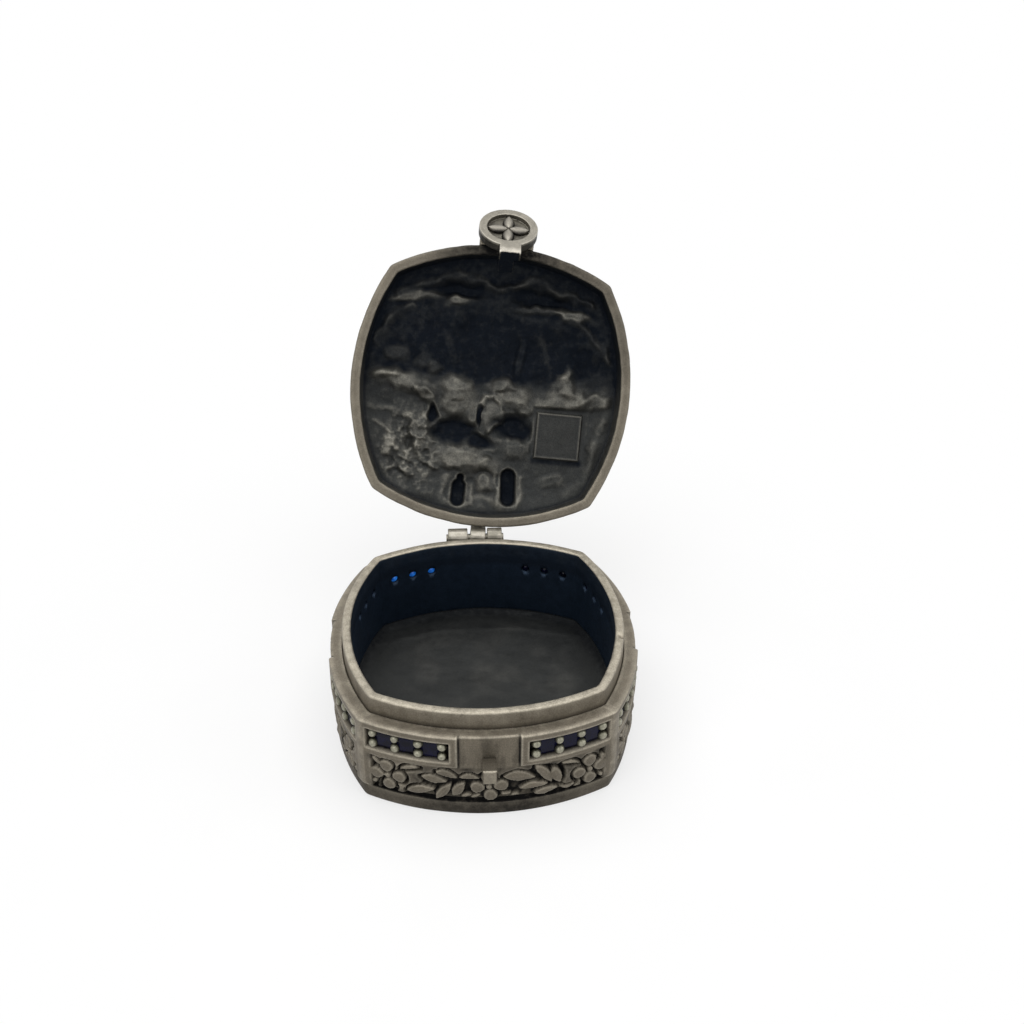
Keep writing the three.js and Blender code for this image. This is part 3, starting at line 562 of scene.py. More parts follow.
# %% Cut the ground
def carve(u, z, side):
    """Where the ground is cut, where a flower or leaf stands, how its face is formed, and how near one is."""
    wave = 0.03 * uneven(u, z, side * 9.0 + 0 * u, 0.6, 5)
    top = np.full(u.shape, -9.0)
    lift = np.zeros(u.shape)
    for cu, cz in BLOSSOMS:
        du, dz = u - cu, z - cz
        for k in range(4):
            t = math.pi / 2 * k + 0.08 + 0.05 * math.sin(3 * k + cu)
            x = du * math.cos(t) + dz * math.sin(t) - 1.02
            y = -du * math.sin(t) + dz * math.cos(t)
            depth = petal_depth(x, y)
            top = np.maximum(top, depth)
            lift = np.where(depth > 0, 0.13 * np.sqrt(np.clip(depth / 0.6, 0, 1)) - 0.05, lift)
        depth = 0.27 - np.hypot(du, dz)
        top = np.maximum(top, depth)
        lift = np.where(depth > 0, 0.08 * step(0, 0.2, depth), lift)
    for leaf in LEAVES:
        depth = leaf_depth(u, z, *leaf)
        top = np.maximum(top, depth)
        lift = np.where(depth > 0, 0.12 * np.clip(depth / 0.45, 0, 1) - 0.03, lift)
    top = top + wave
    a = np.abs(u)
    cluster = np.minimum(np.hypot((u + 3.7) / 2.2, (z - 3.3) / 1.7), np.hypot((u - 4.9) / 1.9, (z - 3.9) / 1.7))
    close = step(0.32, 0.2, -top + 2 * wave - 0.5 * step(1.1, 0.8, cluster))
    low = step(1.94, 1.8, z + wave)
    middle = step(0.15, -0.15, z - np.minimum(4.3, 4.3 - (a - 3.6) * 0.62) + wave)
    ends = step(9.95, 10.15, a)
    ground = np.maximum.reduce([close, low, middle, ends])
    ground = ground * step(5.6, 5.46, z) * step(10.62, 10.5, a)
    return ground, step(-0.06, 0.01, top), lift, step(-0.36, -0.13, top)


cut_share = carve(np.linspace(-10, 10, 200), np.full(200, 3.4), 0.0)[0].mean()
print("share of the ground that is cut at mid height", round(float(cut_share), 2))

# %% [markdown]
# One height function holds the whole wall: raised frames beside a plain middle panel, the sunk
# windows for the stones, and the carved strip. The same forms tell where a painted highlight runs,
# such as along a frame's edge, and where painted shade lies, such as in a window or at a frame's foot.

# %% Height of the wall
GROUND_Z = -0.44


def wall_height(u, z, side):
    """Height of the wall in mm, with its painted highlights and its darkness from patina and painted shade."""
    a = np.abs(u)
    start = np.where(side == 2, FRAME_IN_BACK, FRAME_IN)
    inner = np.minimum(a - start, z - FRAME_LOW)
    raised = 0.03 + 0.15 * step(3.6, 5.0, a) + 0.04 * step(7.5, 9.5, a)
    level = raised * step(6.2, 5.9, z)
    height = np.maximum(FRAME_RISE * step(0.0, 0.07, inner), level)
    ground, motif, lift, near = carve(u, z, side)
    standing = GROUND_Z + (height - 0.02 - GROUND_Z) * motif + lift * motif
    carved = np.where(motif > 0, standing, GROUND_Z)
    height = height * (1 - ground) + carved * ground + lift * motif * (1 - ground) * 0.3
    window = np.minimum.reduce([a - WINDOW_A, WINDOW_B - a, z - WINDOW_LOW, WINDOW_HIGH - z])
    height = height + (-WINDOW_DEEP - height) * step(-0.02, 0.04, window)
    panel = step(3.0, 2.4, a) * step(5.0, 5.4, z)
    marks = 0.012 * uneven(u * 3.2, z * 0.35, side * 7.0 + 0 * u, 0.5, 11) * panel

    # Painted highlights along the frames' edges and the windows' rims; painted shade at the foot of each frame
    # and inside the sunk windows.
    drop = np.where(a - start < z - FRAME_LOW, 1.0, 1 - raised / FRAME_RISE)
    light = 0.62 * bell(inner - 0.1, 0.06) * drop + 0.3 * bell(window + 0.07, 0.06)
    dark = 0.7 * bell(inner + 0.07, 0.09) * drop + 0.95 * step(-0.01, 0.07, window)
    smear_and_peg_shade = 0.3 * np.clip(uneven(u * 1.4, z * 0.5, side * 5.0 + 0 * u, 0.8, 15, 3), 0, 1)
    # Random dark smears on the panel, and painted shade round the catch peg.
    smear_and_peg_shade = smear_and_peg_shade + 0.2 * step(0.9, 0.3, a) * step(7.6, 6.9, z)
    dark = np.maximum(dark, smear_and_peg_shade * step(0.05, -0.05, inner) * step(4.9, 5.3, z))
    blotch = uneven(u, z, side * 3.0 + 0 * u, 0.9, 17, 3)
    field = step(5.8, 5.5, z) * (1 - motif) * (0.42 + 0.3 * blotch)
    dark = np.maximum(dark, field * step(11.3, 10.4, a))
    # The cut ground is black with patina; on the left and right sides it is darkened further as painted shade.
    cut_patina_and_shade = np.maximum(0.42 + 0.58 * near, 0.85 * (side % 2))
    dark = np.maximum(dark, ground * (1 - motif) * cut_patina_and_shade + 0.12 * ground * motif)
    return height + marks, light * (1 - dark), np.clip(dark, 0, 1)


check = [float(v[0]) for v in wall_height(np.array([7.0]), np.array([7.4]), np.array([0.0]))]
print("in a window the wall is", np.round(check, 2), "high, rubbed and dark")

# %% [markdown]
# The wall is a grid of rings round the plan, from the foot up, over the shoulder and down
# again inside. It is a tenth of a millimetre fine, about one pixel of the picture, so
# nothing has to be left to a bump map. The height pushes each ring out, less so on the
# rounded top edge.

# %% Carved wall
PER_SIDE = 240
# Distance in, height, and how much of the relief a ring takes.
wall_rows = [(0.0, z, 1.0) for z in np.arange(1.67, 9.0, 0.085)]
wall_rows += [(0.0, 9.01, 1.0), (0.03, 9.06, 1.0), (0.08, 9.1, 0.9), (0.16, SHOULDER_Z, 0.75)]
wall_rows += [(d, SHOULDER_Z, 0.0) for d in (0.3, 0.5, 0.7, 0.9, 1.0, 1.06)]
wall_rows += [(1.06, 5.0, 0.0), (1.06, 1.67, 0.0)]
rows, light, dark = [], [], []
for inset, z, share in wall_rows:
    xy, out, along, side = walk(inset + float(lean_in(z)), PER_SIDE)
    level = np.full(len(xy), z)
    ripple = 0.012 * uneven(*xy.T, level, 1.7, 21) * (inset < 1.0)
    height, pale, deep = wall_height(along, level, side) if share else np.zeros((3, len(xy)))
    height = np.where(height > 0, height * share, height)
    rows.append(np.c_[xy + out * (height + ripple)[:, None], level] if share else np.c_[xy, level + ripple])
    light.append(pale)
    dark.append(deep)
count = len(rows[0])
points = np.vstack(rows)
faces = rings_to_faces(len(rows), count, True)
SIDES = ("front", "right", "back", "left")
frames = [f"frame_{s}_{half}" for s in SIDES for half in ("left", "right")]
friezes = [f"frieze_{s}" for s in SIDES]
wall = piece("carved_wall", points, faces, "base", [satin], ["base_wall", *frames, *friezes])
masks = mark_wear(wall, 0.06, 6, 0.15, 46)
row_in = np.repeat([d for d, _, _ in wall_rows], count)
row_z = np.repeat([z for _, z, _ in wall_rows], count)
all_along = np.tile(np.abs(walk(0, PER_SIDE)[2]), len(rows))
mottled = 0.5 + 0.5 * uneven(*points.T, 0.8, 13, 3)
# Painted highlights: a line along the shoulder's rounded edge, a lighter top on the ledge, and a line down each
# corner.
top_edge = 0.55 * bell(row_z - 9.05, 0.05) * (row_in < 0.2) + 0.3 * mottled * (row_z > 9.07)
corner_line = 0.45 * mottled * (all_along > 11.2) * (row_z > 1.9)
paint(wall, "worn", np.clip(0.45 * masks["worn"] + np.concatenate(light) + top_edge + corner_line, 0, 1))
paint(wall, "hollow", np.clip(0.7 * masks["hollow"] + np.concatenate(dark), 0, 1))
print("wall faces", len(wall.data.polygons), "rings", len(rows))

# %% [markdown]
# The foot is a plain band. Its top edge falls away into a dark groove, so the carved strip
# seems to stand on it. A closed ring of profile points swept round the plan gives it.

# %% Foot
def sweep(profile, per_side, wobble, seed):
    """Carry a profile of (inset, height) round the plan, with a little unevenness."""
    rows = []
    for inset, z in profile:
        xy, out, _, _ = walk(inset, per_side)
        n = wobble * uneven(xy[:, 0], xy[:, 1], np.full(len(xy), z), 2.2, seed, 2)
        rows.append(np.c_[xy + out * n[:, None], z + 0.5 * n * (0.2 < z)])
    return np.vstack(rows), rings_to_faces(len(rows), len(rows[0]), True)


foot_profile = [
    (0.36, 0.0), (0.24, 0.03), (0.19, 0.1), (0.15, 0.3), (0.12, 0.6), (0.1, 0.9), (0.1, 1.3), (0.13, 1.4),
    (0.2, 1.46), (0.36, 1.5), (0.52, 1.54), (0.56, 1.64), (0.8, FOOT_TOP), (0.8, 0.6), (0.62, 0.0),
]
points, faces = sweep(foot_profile, 150, 0.012, 31)
foot = piece("foot", points, faces, "base", [satin], ["foot_band"])
x, y, z = per_point(foot, "co").T
blotch = 0.5 + 0.5 * uneven(x, y, z, 3.0, 33, 3)
groove = step(1.42, 1.52, z)
# The groove and blotches are dark; towards the left and right ends the foot gets painted light.
paint(foot, "hollow", np.clip(groove + 0.58 - 0.22 * step(3, 9, np.abs(x)) + 0.2 * blotch, 0, 1))
paint(foot, "worn", step(0.16, 0.03, np.abs(z - 1.38)) * 0.4)
print("foot points", len(x))

# %% [markdown]
# The lip is the upstanding wall that the lid closes over. Its outside is satin like the rest,
# its inside almost black. Sweeping a profile makes it too, and its top edge has one small nick
# from use.

# %% Lip
lip_profile = [(LEDGE, z) for z in (8.0, 9.2, 9.6, 10.0, 10.4, 10.68)]
lip_profile += [(LEDGE + 0.03, 10.77), (LEDGE + 0.1, 10.83), (LEDGE + 0.2, LIP_TOP), (LEDGE + 0.4, LIP_TOP)]
lip_profile += [(INSIDE - 0.2, LIP_TOP), (INSIDE - 0.09, 10.82), (INSIDE - 0.03, 10.74), (INSIDE, 10.6)]
lip_profile += [(INSIDE, z) for z in np.linspace(10.2, 2.5, 16)] + [(LEDGE + 0.02, 2.5)]
FIRST_DARK_ROW = 12
points, faces = sweep(lip_profile, 110, 0.018, 41)
from_nick = np.hypot(points[:, 0] - 12.45, points[:, 1] + 3.0)
points[:, 2] -= 0.3 * bell(from_nick, 0.28) * (points[:, 2] > 10.5)
dark_faces = np.repeat(np.arange(len(lip_profile)) >= FIRST_DARK_ROW, len(points) // len(lip_profile))
lip = piece("lip", points, faces, "base", [satin, inside_dark], ["inner_sleeve"],
            material_index=dark_faces)
print("lip rings", len(lip_profile), "points", len(points))

# %% [markdown]
# Behind each stone the lip has a small hole. The holes are drilled with a boolean, which is
# simpler here than building them into the grid, and is applied at once. They follow the bowed
# sides, so a few helpers find a place on a side and the directions there.

# %% Drill the lip
def on_side(side, u, z, out):
    """A point on one of the four bowed sides."""
    half = HALF_D if side % 2 == 0 else HALF_W
    r = SIDE_R + out - float(lean_in(z))
    x, y = r * math.sin(u / SIDE_R), SIDE_R - half - r * math.cos(u / SIDE_R)
    t = side * math.pi / 2
    return np.array([x * math.cos(t) - y * math.sin(t), x * math.sin(t) + y * math.cos(t), z])


def axes(n):
    """A direction at length 1, with one along the wall and one up it."""
    n = n / np.linalg.norm(n)
    s = np.cross(n, [0, 0, 1])
    s /= np.linalg.norm(s)
    return n, s, np.cross(s, n)


def circle(middle, s, w, r, count):
    """Points round a middle, in the plane of two directions."""
    turns = np.arange(count) * math.tau / count
    return [middle + (s * math.cos(q) + w * math.sin(q)) * r for q in turns]


def settle(obj):
    """Keep the mesh as its modifiers leave it."""
    bpy.context.view_layer.update()
    ready = bpy.data.meshes.new_from_object(obj.evaluated_get(bpy.context.evaluated_depsgraph_get()))
    ready.name = obj.name
    old = obj.data
    obj.modifiers.clear()
    obj.data = ready
    bpy.data.meshes.remove(old)
    ready.polygons.foreach_set("use_smooth", np.full(len(ready.polygons), True))
    return obj


HOLE_R, HOLE_SIDES = 0.41, 18
spots = [(side, sign * u) for side in range(4) for sign in (-1, 1) for u in STONES]
points, faces = [], []
for side, u in spots:
    a, b = on_side(side, u, HOLE_Z, -0.6), on_side(side, u, HOLE_Z, -2.6)
    _, s, w = axes(a - b)
    faces += tube(2, HOLE_SIDES, len(points), flip=True)
    points += circle(b, s, w, HOLE_R, HOLE_SIDES) + circle(a, s, w, HOLE_R, HOLE_SIDES)
drill_mesh = bpy.data.meshes.new("drill")
drill_mesh.from_pydata([tuple(p * MM) for p in points], [], faces)
drill_mesh.materials.append(inside_dark)
drill = bpy.data.objects.new("drill", drill_mesh)
bpy.context.scene.collection.objects.link(drill)
cut = lip.modifiers.new("holes", "BOOLEAN")
cut.operation = "DIFFERENCE"
cut.solver = "EXACT"
cut.object = drill
settle(lip)
bpy.data.objects.remove(drill)
x, y, z = per_point(lip, "co").T
# The lip's top face gets a painted highlight; above the ledge the lip is a little lighter in streaks.
edge = step(10.66, 10.82, z)
streak = 0.5 + 0.5 * uneven(x, y, z * 0.2, 0.9, 43, 3)
paint(lip, "worn", np.clip(edge * (0.84 + 0.16 * streak) + (0.08 + 0.2 * streak) * step(9.3, 9.6, z), 0, 1))
paint(lip, "hollow", 0.45 * step(9.35, 9.12, z) * (np.abs(z - 9.2) < 0.6))
print("lip points", len(x), "holes", len(spots))

# %% [markdown]
# The floor is a thin tray with a soft fillet where it meets the wall, a little uneven from
# hammering, with one long low ridge near the back. It is a set of rings that shrink towards
# the middle.

# %% Floor
FLOOR_Z, UNDERSIDE_Z = 2.4, 1.7
rim_ring = walk(INSIDE - 0.05, 90)[0]
under_shares = [0.02, 0.5, 0.97]
top_shares = [1.0, 0.985, 0.97, 0.95, 0.925, 0.9, *np.linspace(0.86, 0.02, 44)]
rows = [np.c_[rim_ring * s, np.full(len(rim_ring), UNDERSIDE_Z)] for s in under_shares]
for s in top_shares:
    x, y = (rim_ring * s).T
    from_wall = (1 - s) * 12.0
    fillet = 0.5 * np.clip(1 - from_wall / 0.9, 0, 1) ** 2
    z = FLOOR_Z + fillet + 0.035 * uneven(x, y, 0 * x, 3.2, 51, 3)
    ridge = to_line(x, y, [(-10.5, 7.2), (-4, 9.2), (4, 9.3), (10.5, 7.4)])
    z = z + 0.05 * bell(ridge, 0.35) - 0.04 * bell(np.hypot(x, y - 1.5), 4.5)
    rows.append(np.c_[x, y, z])
faces = tube(len(rows), len(rim_ring))
tray = piece("tray_floor", np.vstack(rows), faces, "base", [floor_metal], ["floor_plate"])
x, y, _ = per_point(tray, "co").T
share = np.repeat([*under_shares, *top_shares], len(rim_ring))
paint(tray, "hollow", np.clip(step(0.86, 0.99, share) + 0.25 * uneven(x, y, 0 * x, 4.0, 53, 3), 0, 1))
paint(tray, "worn", np.clip(0.35 * uneven(x, y, 0 * x, 2.6, 57, 3) * step(0.95, 0.7, share), 0, 1))
print("floor rings", len(rows))

# %% [markdown]
# Each stone is held by grains of silver, two rows of four in every channel. A grain is a small
# dome that the setter pushed over the stone's edge with a hollow punch, so it has a dimple on
# its top. All sixty-four are one mesh, each turned and sized a little differently.

# %% Setting grains
GRAIN_R, GRAIN_H, AROUND = 0.43, 0.64, 16
# Share of the radius and share of the height, from the foot of the dome to its dimple.
grain_profile = [(1.0, 0.0), (1.02, 0.3), (1.0, 0.5), (0.94, 0.68), (0.83, 0.84),
                 (0.66, 0.96), (0.46, 1.04), (0.26, 1.07), (0.12, 1.05), (0.02, 1.03)]
grain_spots = [(side, sign * u, rise) for side in range(4) for sign in (-1, 1) for u in BEADS
               for rise in (-BEAD_RISE, BEAD_RISE)]
points, faces = [], []
for k, (side, u, rise) in enumerate(grain_spots, 1):
    wobble = [float(uneven(k * 3.1 + j, 0.5, 0.5, 0.7, 61)) for j in range(4)]
    size = GRAIN_R * (1 + 0.06 * wobble[0])
    tall = GRAIN_H + 0.05 * wobble[1]
    foot_at = on_side(side, u + 0.04 * wobble[1], BEAD_Z + rise + 0.03 * wobble[2], -WINDOW_DEEP - 0.05)
    n, s, w = axes(foot_at - on_side(side, u, BEAD_Z + rise, -WINDOW_DEEP - 1.05))
    faces += tube(len(grain_profile), AROUND, len(points), flip=True, first_end=False)
    for r, h in grain_profile:
        for q in np.arange(AROUND) * math.tau / AROUND:
            oval = 1 + 0.05 * math.sin(2 * q + 6 * wobble[3])
            points.append(foot_at + (s * math.cos(q) + w * math.sin(q)) * r * oval * size + n * (h * tall))
grains = piece("setting_grains", points, faces, "base", [grain_silver])
r, h = np.tile(np.repeat(grain_profile, AROUND, axis=0), (len(grain_spots), 1)).T
# Each grain gets a painted highlight on its top and painted shade on its lower half; its dimple is dark.
paint(grains, "worn", step(0.75, 1.04, h) * 0.7)
paint(grains, "hollow", np.clip(step(0.7, 0.3, h) + 0.35 * step(0.12, 0.02, r), 0, 1))
print("grains", len(grain_spots))

# %% [markdown]
# The stones are square and step cut: a flat table, and two sloping steps down to the girdle.
# They fill the channel from edge to edge, and the grains bite over their corners. Rings of
# four points make one, and a bevel breaks its edges, because no cutter leaves them sharp.

# %% Cut stones
# Half width, half height and distance out, from the back of a stone to its table.
stone_steps = [(0.6, 0.6, -0.5), (0.96, 0.98, -0.34), (0.96, 0.98, -0.27), (0.8, 0.82, -0.17), (0.6, 0.62, -0.1)]


def cut_stones(side, sign):
    """The three stones of one channel."""
    points, faces = [], []
    for u in STONES:
        tilt = 0.03 * float(uneven(u + 5 * side, sign, 0.0, 0.9, 67))
        faces += tube(len(stone_steps), 4, len(points))
        for wide, tall, out in stone_steps:
            for du, dz in ((-1, -1), (1, -1), (1, 1), (-1, 1)):
                points.append(on_side(side, sign * u + du * wide, STONE_Z + dz * tall, out + tilt * du))
    label = f"{SIDES[side]}_{'left' if sign < 0 else 'right'}"
    replaced = [f"stone_{label}_{i}" for i in (1, 2, 3)]
    obj = piece("stones_" + label, points, faces, "base", [stone_blue], replaced, smooth=False)
    soft = obj.modifiers.new("broken_edges", "BEVEL")
    soft.width = 0.03 * MM
    soft.segments = 2
    return obj


channels = [cut_stones(side, sign) for side in range(4) for sign in (-1, 1)]
print("stones cut for", len(channels), "channels")

# %% [markdown]
# Seen from inside, the point of a stone fills each hole. On one side light comes through
# three of them, and they shine bright blue. A low cone in each hole is all that shows.

# %% Stone points in the holes
# Radius and height of the rings of a point.
point_rings = [(0.37, -0.3), (0.36, 0.0), (0.27, 0.1), (0.12, 0.17), (0.02, 0.18)]


def stone_points(name, spots, material):
    points, faces = [], []
    for side, u in spots:
        middle = on_side(side, u, HOLE_Z, -INSIDE + 0.28)
        n, s, w = axes(on_side(side, u, HOLE_Z, -INSIDE - 1) - middle)
        faces += tube(len(point_rings), 12, len(points), flip=True)
        for r, h in point_rings:
            points += circle(middle + n * h, s, w, r, 12)
    return piece(name, points, faces, "base", [material], smooth=False)


lit = [(2, u) for u in STONES]
unlit = [spot for spot in spots if spot not in lit]
stone_points("lit_stone_points", lit, lit_stone)
stone_points("dark_stone_points", unlit, stone_blue)
print("stone points", len(lit) + len(unlit))

# %% [markdown]
# Small castings, such as the clasp, the hinge and the peg, have their exact shape in the
# mechanism's solids already. A voxel remesh rebuilds a solid as an even skin, and a little
# smoothing rounds its edges as years in a pocket do. Fine voxels keep the gaps between the
# knuckles open, which is how a hinge reads from afar.

# %% Peg and hinge
def soft_cast(name, voxel, rounds, body, material):
    """A rounded copy of a solid, which it replaces."""
    mesh = nodes[name].data
    points = [tuple(v.co * 1000) for v in mesh.vertices]
    faces = [list(p.vertices) for p in mesh.polygons]
    obj = piece(name + "_cast", points, faces, body, [material], [name])
    m = obj.modifiers.new("skin", "REMESH")
    m.mode = "VOXEL"
    m.voxel_size = voxel * MM
    m.use_smooth_shade = True
    s = obj.modifiers.new("soften", "SMOOTH")
    s.factor = 0.5
    s.iterations = rounds
    return settle(obj)


def worn_cast(name, voxel, rounds, body, material, worn=0.02, broad=0.1):
    """A soft cast with its edges rubbed and its hollows a little dark."""
    obj = soft_cast(name, voxel, rounds, body, material)
    masks = mark_wear(obj, worn, 4, broad, 10)
    paint(obj, "hollow", 0.35 * masks["hollow"])
    return obj


peg = soft_cast("catch_peg", 0.045, 4, "base", satin)
# The peg is painted by the way each face looks: painted highlights on its front face and front edge, painted
# shade on its top and its sides.
nx, ny, nz = per_point(peg, "normal").T
lit_front_edge = step(0.2, 0.5, nz) * step(-0.2, -0.5, ny)
paint(peg, "worn", np.clip(lit_front_edge + 0.4 * step(-0.7, -0.95, ny), 0, 1))
paint(peg, "hollow", 0.3 * step(0.8, 0.97, nz) + 0.3 * step(0.6, 0.95, np.abs(nx)))
for name, body, seed in (("hinge_knuckle_left", "base", 69), ("hinge_knuckle_right", "base", 69),
                         ("hinge_pin", "hinge_pin", None), ("lid_knuckle", "lid", 70)):
    if seed is None:
        worn_cast(name, 0.04, 3, body, bright)
        continue
    knuckle = worn_cast(name, 0.05, 3, body, bright)
    paint(knuckle, "worn", 0.2 + 0.4 * uneven(*per_point(knuckle, "co").T, 0.8, seed, 2))
print("hinge cast")

# %% [markdown]
# The inside of the lid is the rough back of the work on its top: ridges, lumps and deep
# hollows, black with patina, and a flat place for a small plaque. It is modelled as a height
# over the ceiling, one named form after another, as one would press them into clay. First
# come the forms themselves, by place and size in the plan of the shut lid.

# %% Forms inside the lid
# Raised forms: middle, half sizes, turn, height and how light the metal is there.
MASSES = [
    (-8.8, -0.3, 3.2, 1.0, 0.15, 0.45, 0.5), (-6.6, 0.9, 1.2, 0.6, 0.7, 0.35, 0.45),
    (-10.6, -1.0, 1.3, 0.6, -0.3, 0.3, 0.35), (-3.5, -0.3, 1.5, 1.0, 0.2, 0.55, 0.6),
    (-3.0, 1.4, 1.5, 1.2, -0.2, 0.5, 0.5), (-1.3, 2.6, 0.7, 1.1, 0.2, 0.4, 0.4),
    (2.3, 0.2, 1.9, 1.1, 0.2, 0.5, 0.55), (1.0, -0.5, 1.3, 0.6, -0.2, 0.4, 0.4),
    (3.4, 1.5, 1.0, 0.6, 0.2, 0.35, 0.35), (7.6, -1.9, 0.45, 0.9, 0.0, 0.15, 0.55),
    (7.7, -1.0, 1.1, 1.1, 0.0, 0.4, 0.55), (0.4, 2.3, 0.8, 1.5, 0.0, 0.3, 0.34),
    (8.0, 0.1, 2.2, 0.9, -0.1, 0.5, 0.55), (5.7, 1.1, 1.4, 0.7, -0.2, 0.4, 0.45),
    (10.6, 0.2, 1.7, 0.7, -0.3, 0.4, 0.4), (-2.2, 7.2, 2.7, 1.1, 0.03, 0.55, 0.62),
    (0.8, 7.4, 1.1, 0.9, 0.1, 0.35, 0.35), (3.0, 5.5, 1.4, 1.0, 0.1, 0.3, 0.12),
    (0.3, 9.4, 0.8, 0.9, 0.0, 0.35, 0.35), (-7.0, 4.6, 1.1, 1.1, 0.0, 0.25, 0.25),
    (-4.0, -8.7, 1.1, 0.5, -0.1, 0.4, 0.6), (-8.6, -8.8, 2.5, 0.5, -0.2, 0.35, 0.5),
    (7.6, -8.5, 1.8, 0.5, 0.15, 0.35, 0.6), (4.0, -8.5, 2.3, 0.4, 0.0, 0.3, 0.2),
    (-6.9, -2.6, 0.8, 1.1, 0.3, 0.35, 0.16), (-9.6, -3.1, 1.2, 0.8, 0.2, 0.3, 0.16),
    (-7.6, 6.6, 2.5, 3.6, 0.25, 0.15, 0.22), (7.2, 8.6, 1.3, 0.8, -0.2, 0.2, 0.1),
    (9.6, 9.6, 1.6, 1.0, -0.5, 0.15, 0.08), (-5.9, -1.8, 0.6, 0.8, 0.3, 0.4, 0.22),
    (2.9, -3.6, 0.5, 1.9, 0.1, 0.3, 0.12), (11.6, 5.0, 0.9, 4.5, 0.1, 0.25, 0.1),
]
# Sunken forms: middle, half sizes, turn and depth.
HOLLOWS = [
    (0.0, -4.8, 3.4, 3.0, 0.0, 0.55), (-3.6, -9.9, 2.4, 0.75, 0.0, 0.6), (4.3, -9.6, 2.7, 0.8, 0.05, 0.6),
    (2.9, 3.5, 2.1, 1.15, 0.0, 0.75), (-3.4, 4.4, 2.1, 1.3, 0.05, 0.65), (-5.6, 2.8, 0.45, 0.8, 0.0, 0.6),
    (-0.75, 2.7, 0.22, 1.0, 0.0, 0.3), (5.0, -4.0, 1.5, 3.0, 0.1, 0.25), (-2.4, -2.6, 1.9, 0.9, 0.2, 0.25),
    (9.2, -3.5, 1.2, 1.7, 0.2, 0.3), (-0.6, 5.2, 1.2, 0.6, 0.0, 0.4),
]
# Narrow crests: height, width, lightness and the points they run through.
CRESTS = [
    (0.36, 0.42, 0.34, [(-10.2, -9.2), (-8, -9.9), (-6.5, -10.5), (-5, -11.1), (-3.5, -11.35), (-2, -11.1),
                        (-1, -10.4), (0, -10.2), (1.5, -10.5), (3, -11.2), (4.2, -11.3), (5.5, -10.8),
                        (7.5, -10.2), (9.5, -9.6)]),
    (0.32, 0.36, 0.34, [(-12, -4.2), (-11, -5.8), (-9.8, -7.0), (-8.5, -7.8)]),
    (0.32, 0.36, 0.42, [(7.0, -8.0), (8.5, -7.7), (10, -6.6), (11.3, -5.2), (12, -3.8)]),
    (0.4, 0.3, 0.7, [(-0.7, 1.4), (-0.4, 0.7), (0.4, 0.5), (1.1, 1.0), (1.45, 2.0), (1.25, 3.2), (0.5, 4.0)]),
    (0.12, 0.6, 0.2, [(-11, -0.9), (-8.6, -0.4), (-6.9, 0.6), (-5.9, 1.9)]),
    (0.12, 0.5, 0.3, [(9.4, 0.1), (10.8, -0.3), (11.9, -1.5)]),
    (0.2, 0.29, 0.34, [(-10.0, 8.8), (-8.6, 8.6), (-7.4, 9.0)]),
    (0.22, 0.29, 0.36, [(-7.4, 6.0), (-6.8, 7.1), (-5.8, 7.9), (-4.9, 8.4)]),
    (0.18, 0.26, 0.32, [(-9.6, 6.6), (-8.8, 7.3), (-8.0, 7.4)]),
    (0.16, 0.26, 0.26, [(-6.0, 4.5), (-6.4, 3.7), (-7.2, 3.7), (-7.8, 4.4), (-7.5, 5.3), (-6.6, 5.5)]),
    (0.18, 0.39, 0.3, [(-3.6, 9.2), (-4.2, 10.6), (-3.6, 11.8), (-2.3, 12.3), (-1.2, 11.5), (-1.0, 10.0)]),
    (0.18, 0.36, 0.27, [(1.5, 8.2), (1.5, 11.2), (2.4, 12.0), (3.6, 11.6), (4.0, 10.0), (4.0, 8.6)]),
    (0.14, 0.33, 0.3, [(-0.8, 11.0), (0.4, 10.8), (1.4, 11.2)]),
    (0.14, 0.39, 0.17, [(-11.9, 2.2), (-10.4, 2.9), (-9.2, 3.0)]),
    (0.14, 0.33, 0.17, [(-11.6, 3.9), (-10.5, 4.3), (-9.6, 4.9)]),
    (0.12, 0.7, 0.08, [(4.6, -6.2), (5.4, -4.5), (5.5, -2.5)]),
    (0.12, 0.7, 0.08, [(-4.0, -7.2), (-4.8, -5.0), (-4.3, -3.0)]),
]
# Deep slots: the line they follow and their half width.
SLOTS = [([(-2.2, 9.0), (-2.25, 9.6)], 0.3), ([(-2.3, 9.9), (-2.35, 11.3)], 0.62),
         ([(2.65, 8.5), (2.8, 10.8)], 0.68)]
print("forms:", len(MASSES), "masses,", len(HOLLOWS), "hollows,", len(CRESTS), "crests,", len(SLOTS), "slots")

# %% [markdown]
# One function adds the forms up. Noise bends their outlines and roughens the skin, less so
# where the casting is calm. While it adds, it notes how light and how dark the metal is made:
# lighter on the raised forms and crests, darker in the sunken forms and slots.

# %% Relief inside the lid
FORMS_UP = 0.35


def mass(x, y, cx, cy, rx, ry, turn=0.0, soft=0.45):
    """1 inside an oval, falling to 0 over a soft edge."""
    dx, dy = x - cx, y - cy
    c, s = math.cos(turn), math.sin(turn)
    return step(1.0 + soft, 1.0 - soft, np.hypot((dx * c + dy * s) / rx, (-dx * s + dy * c) / ry))


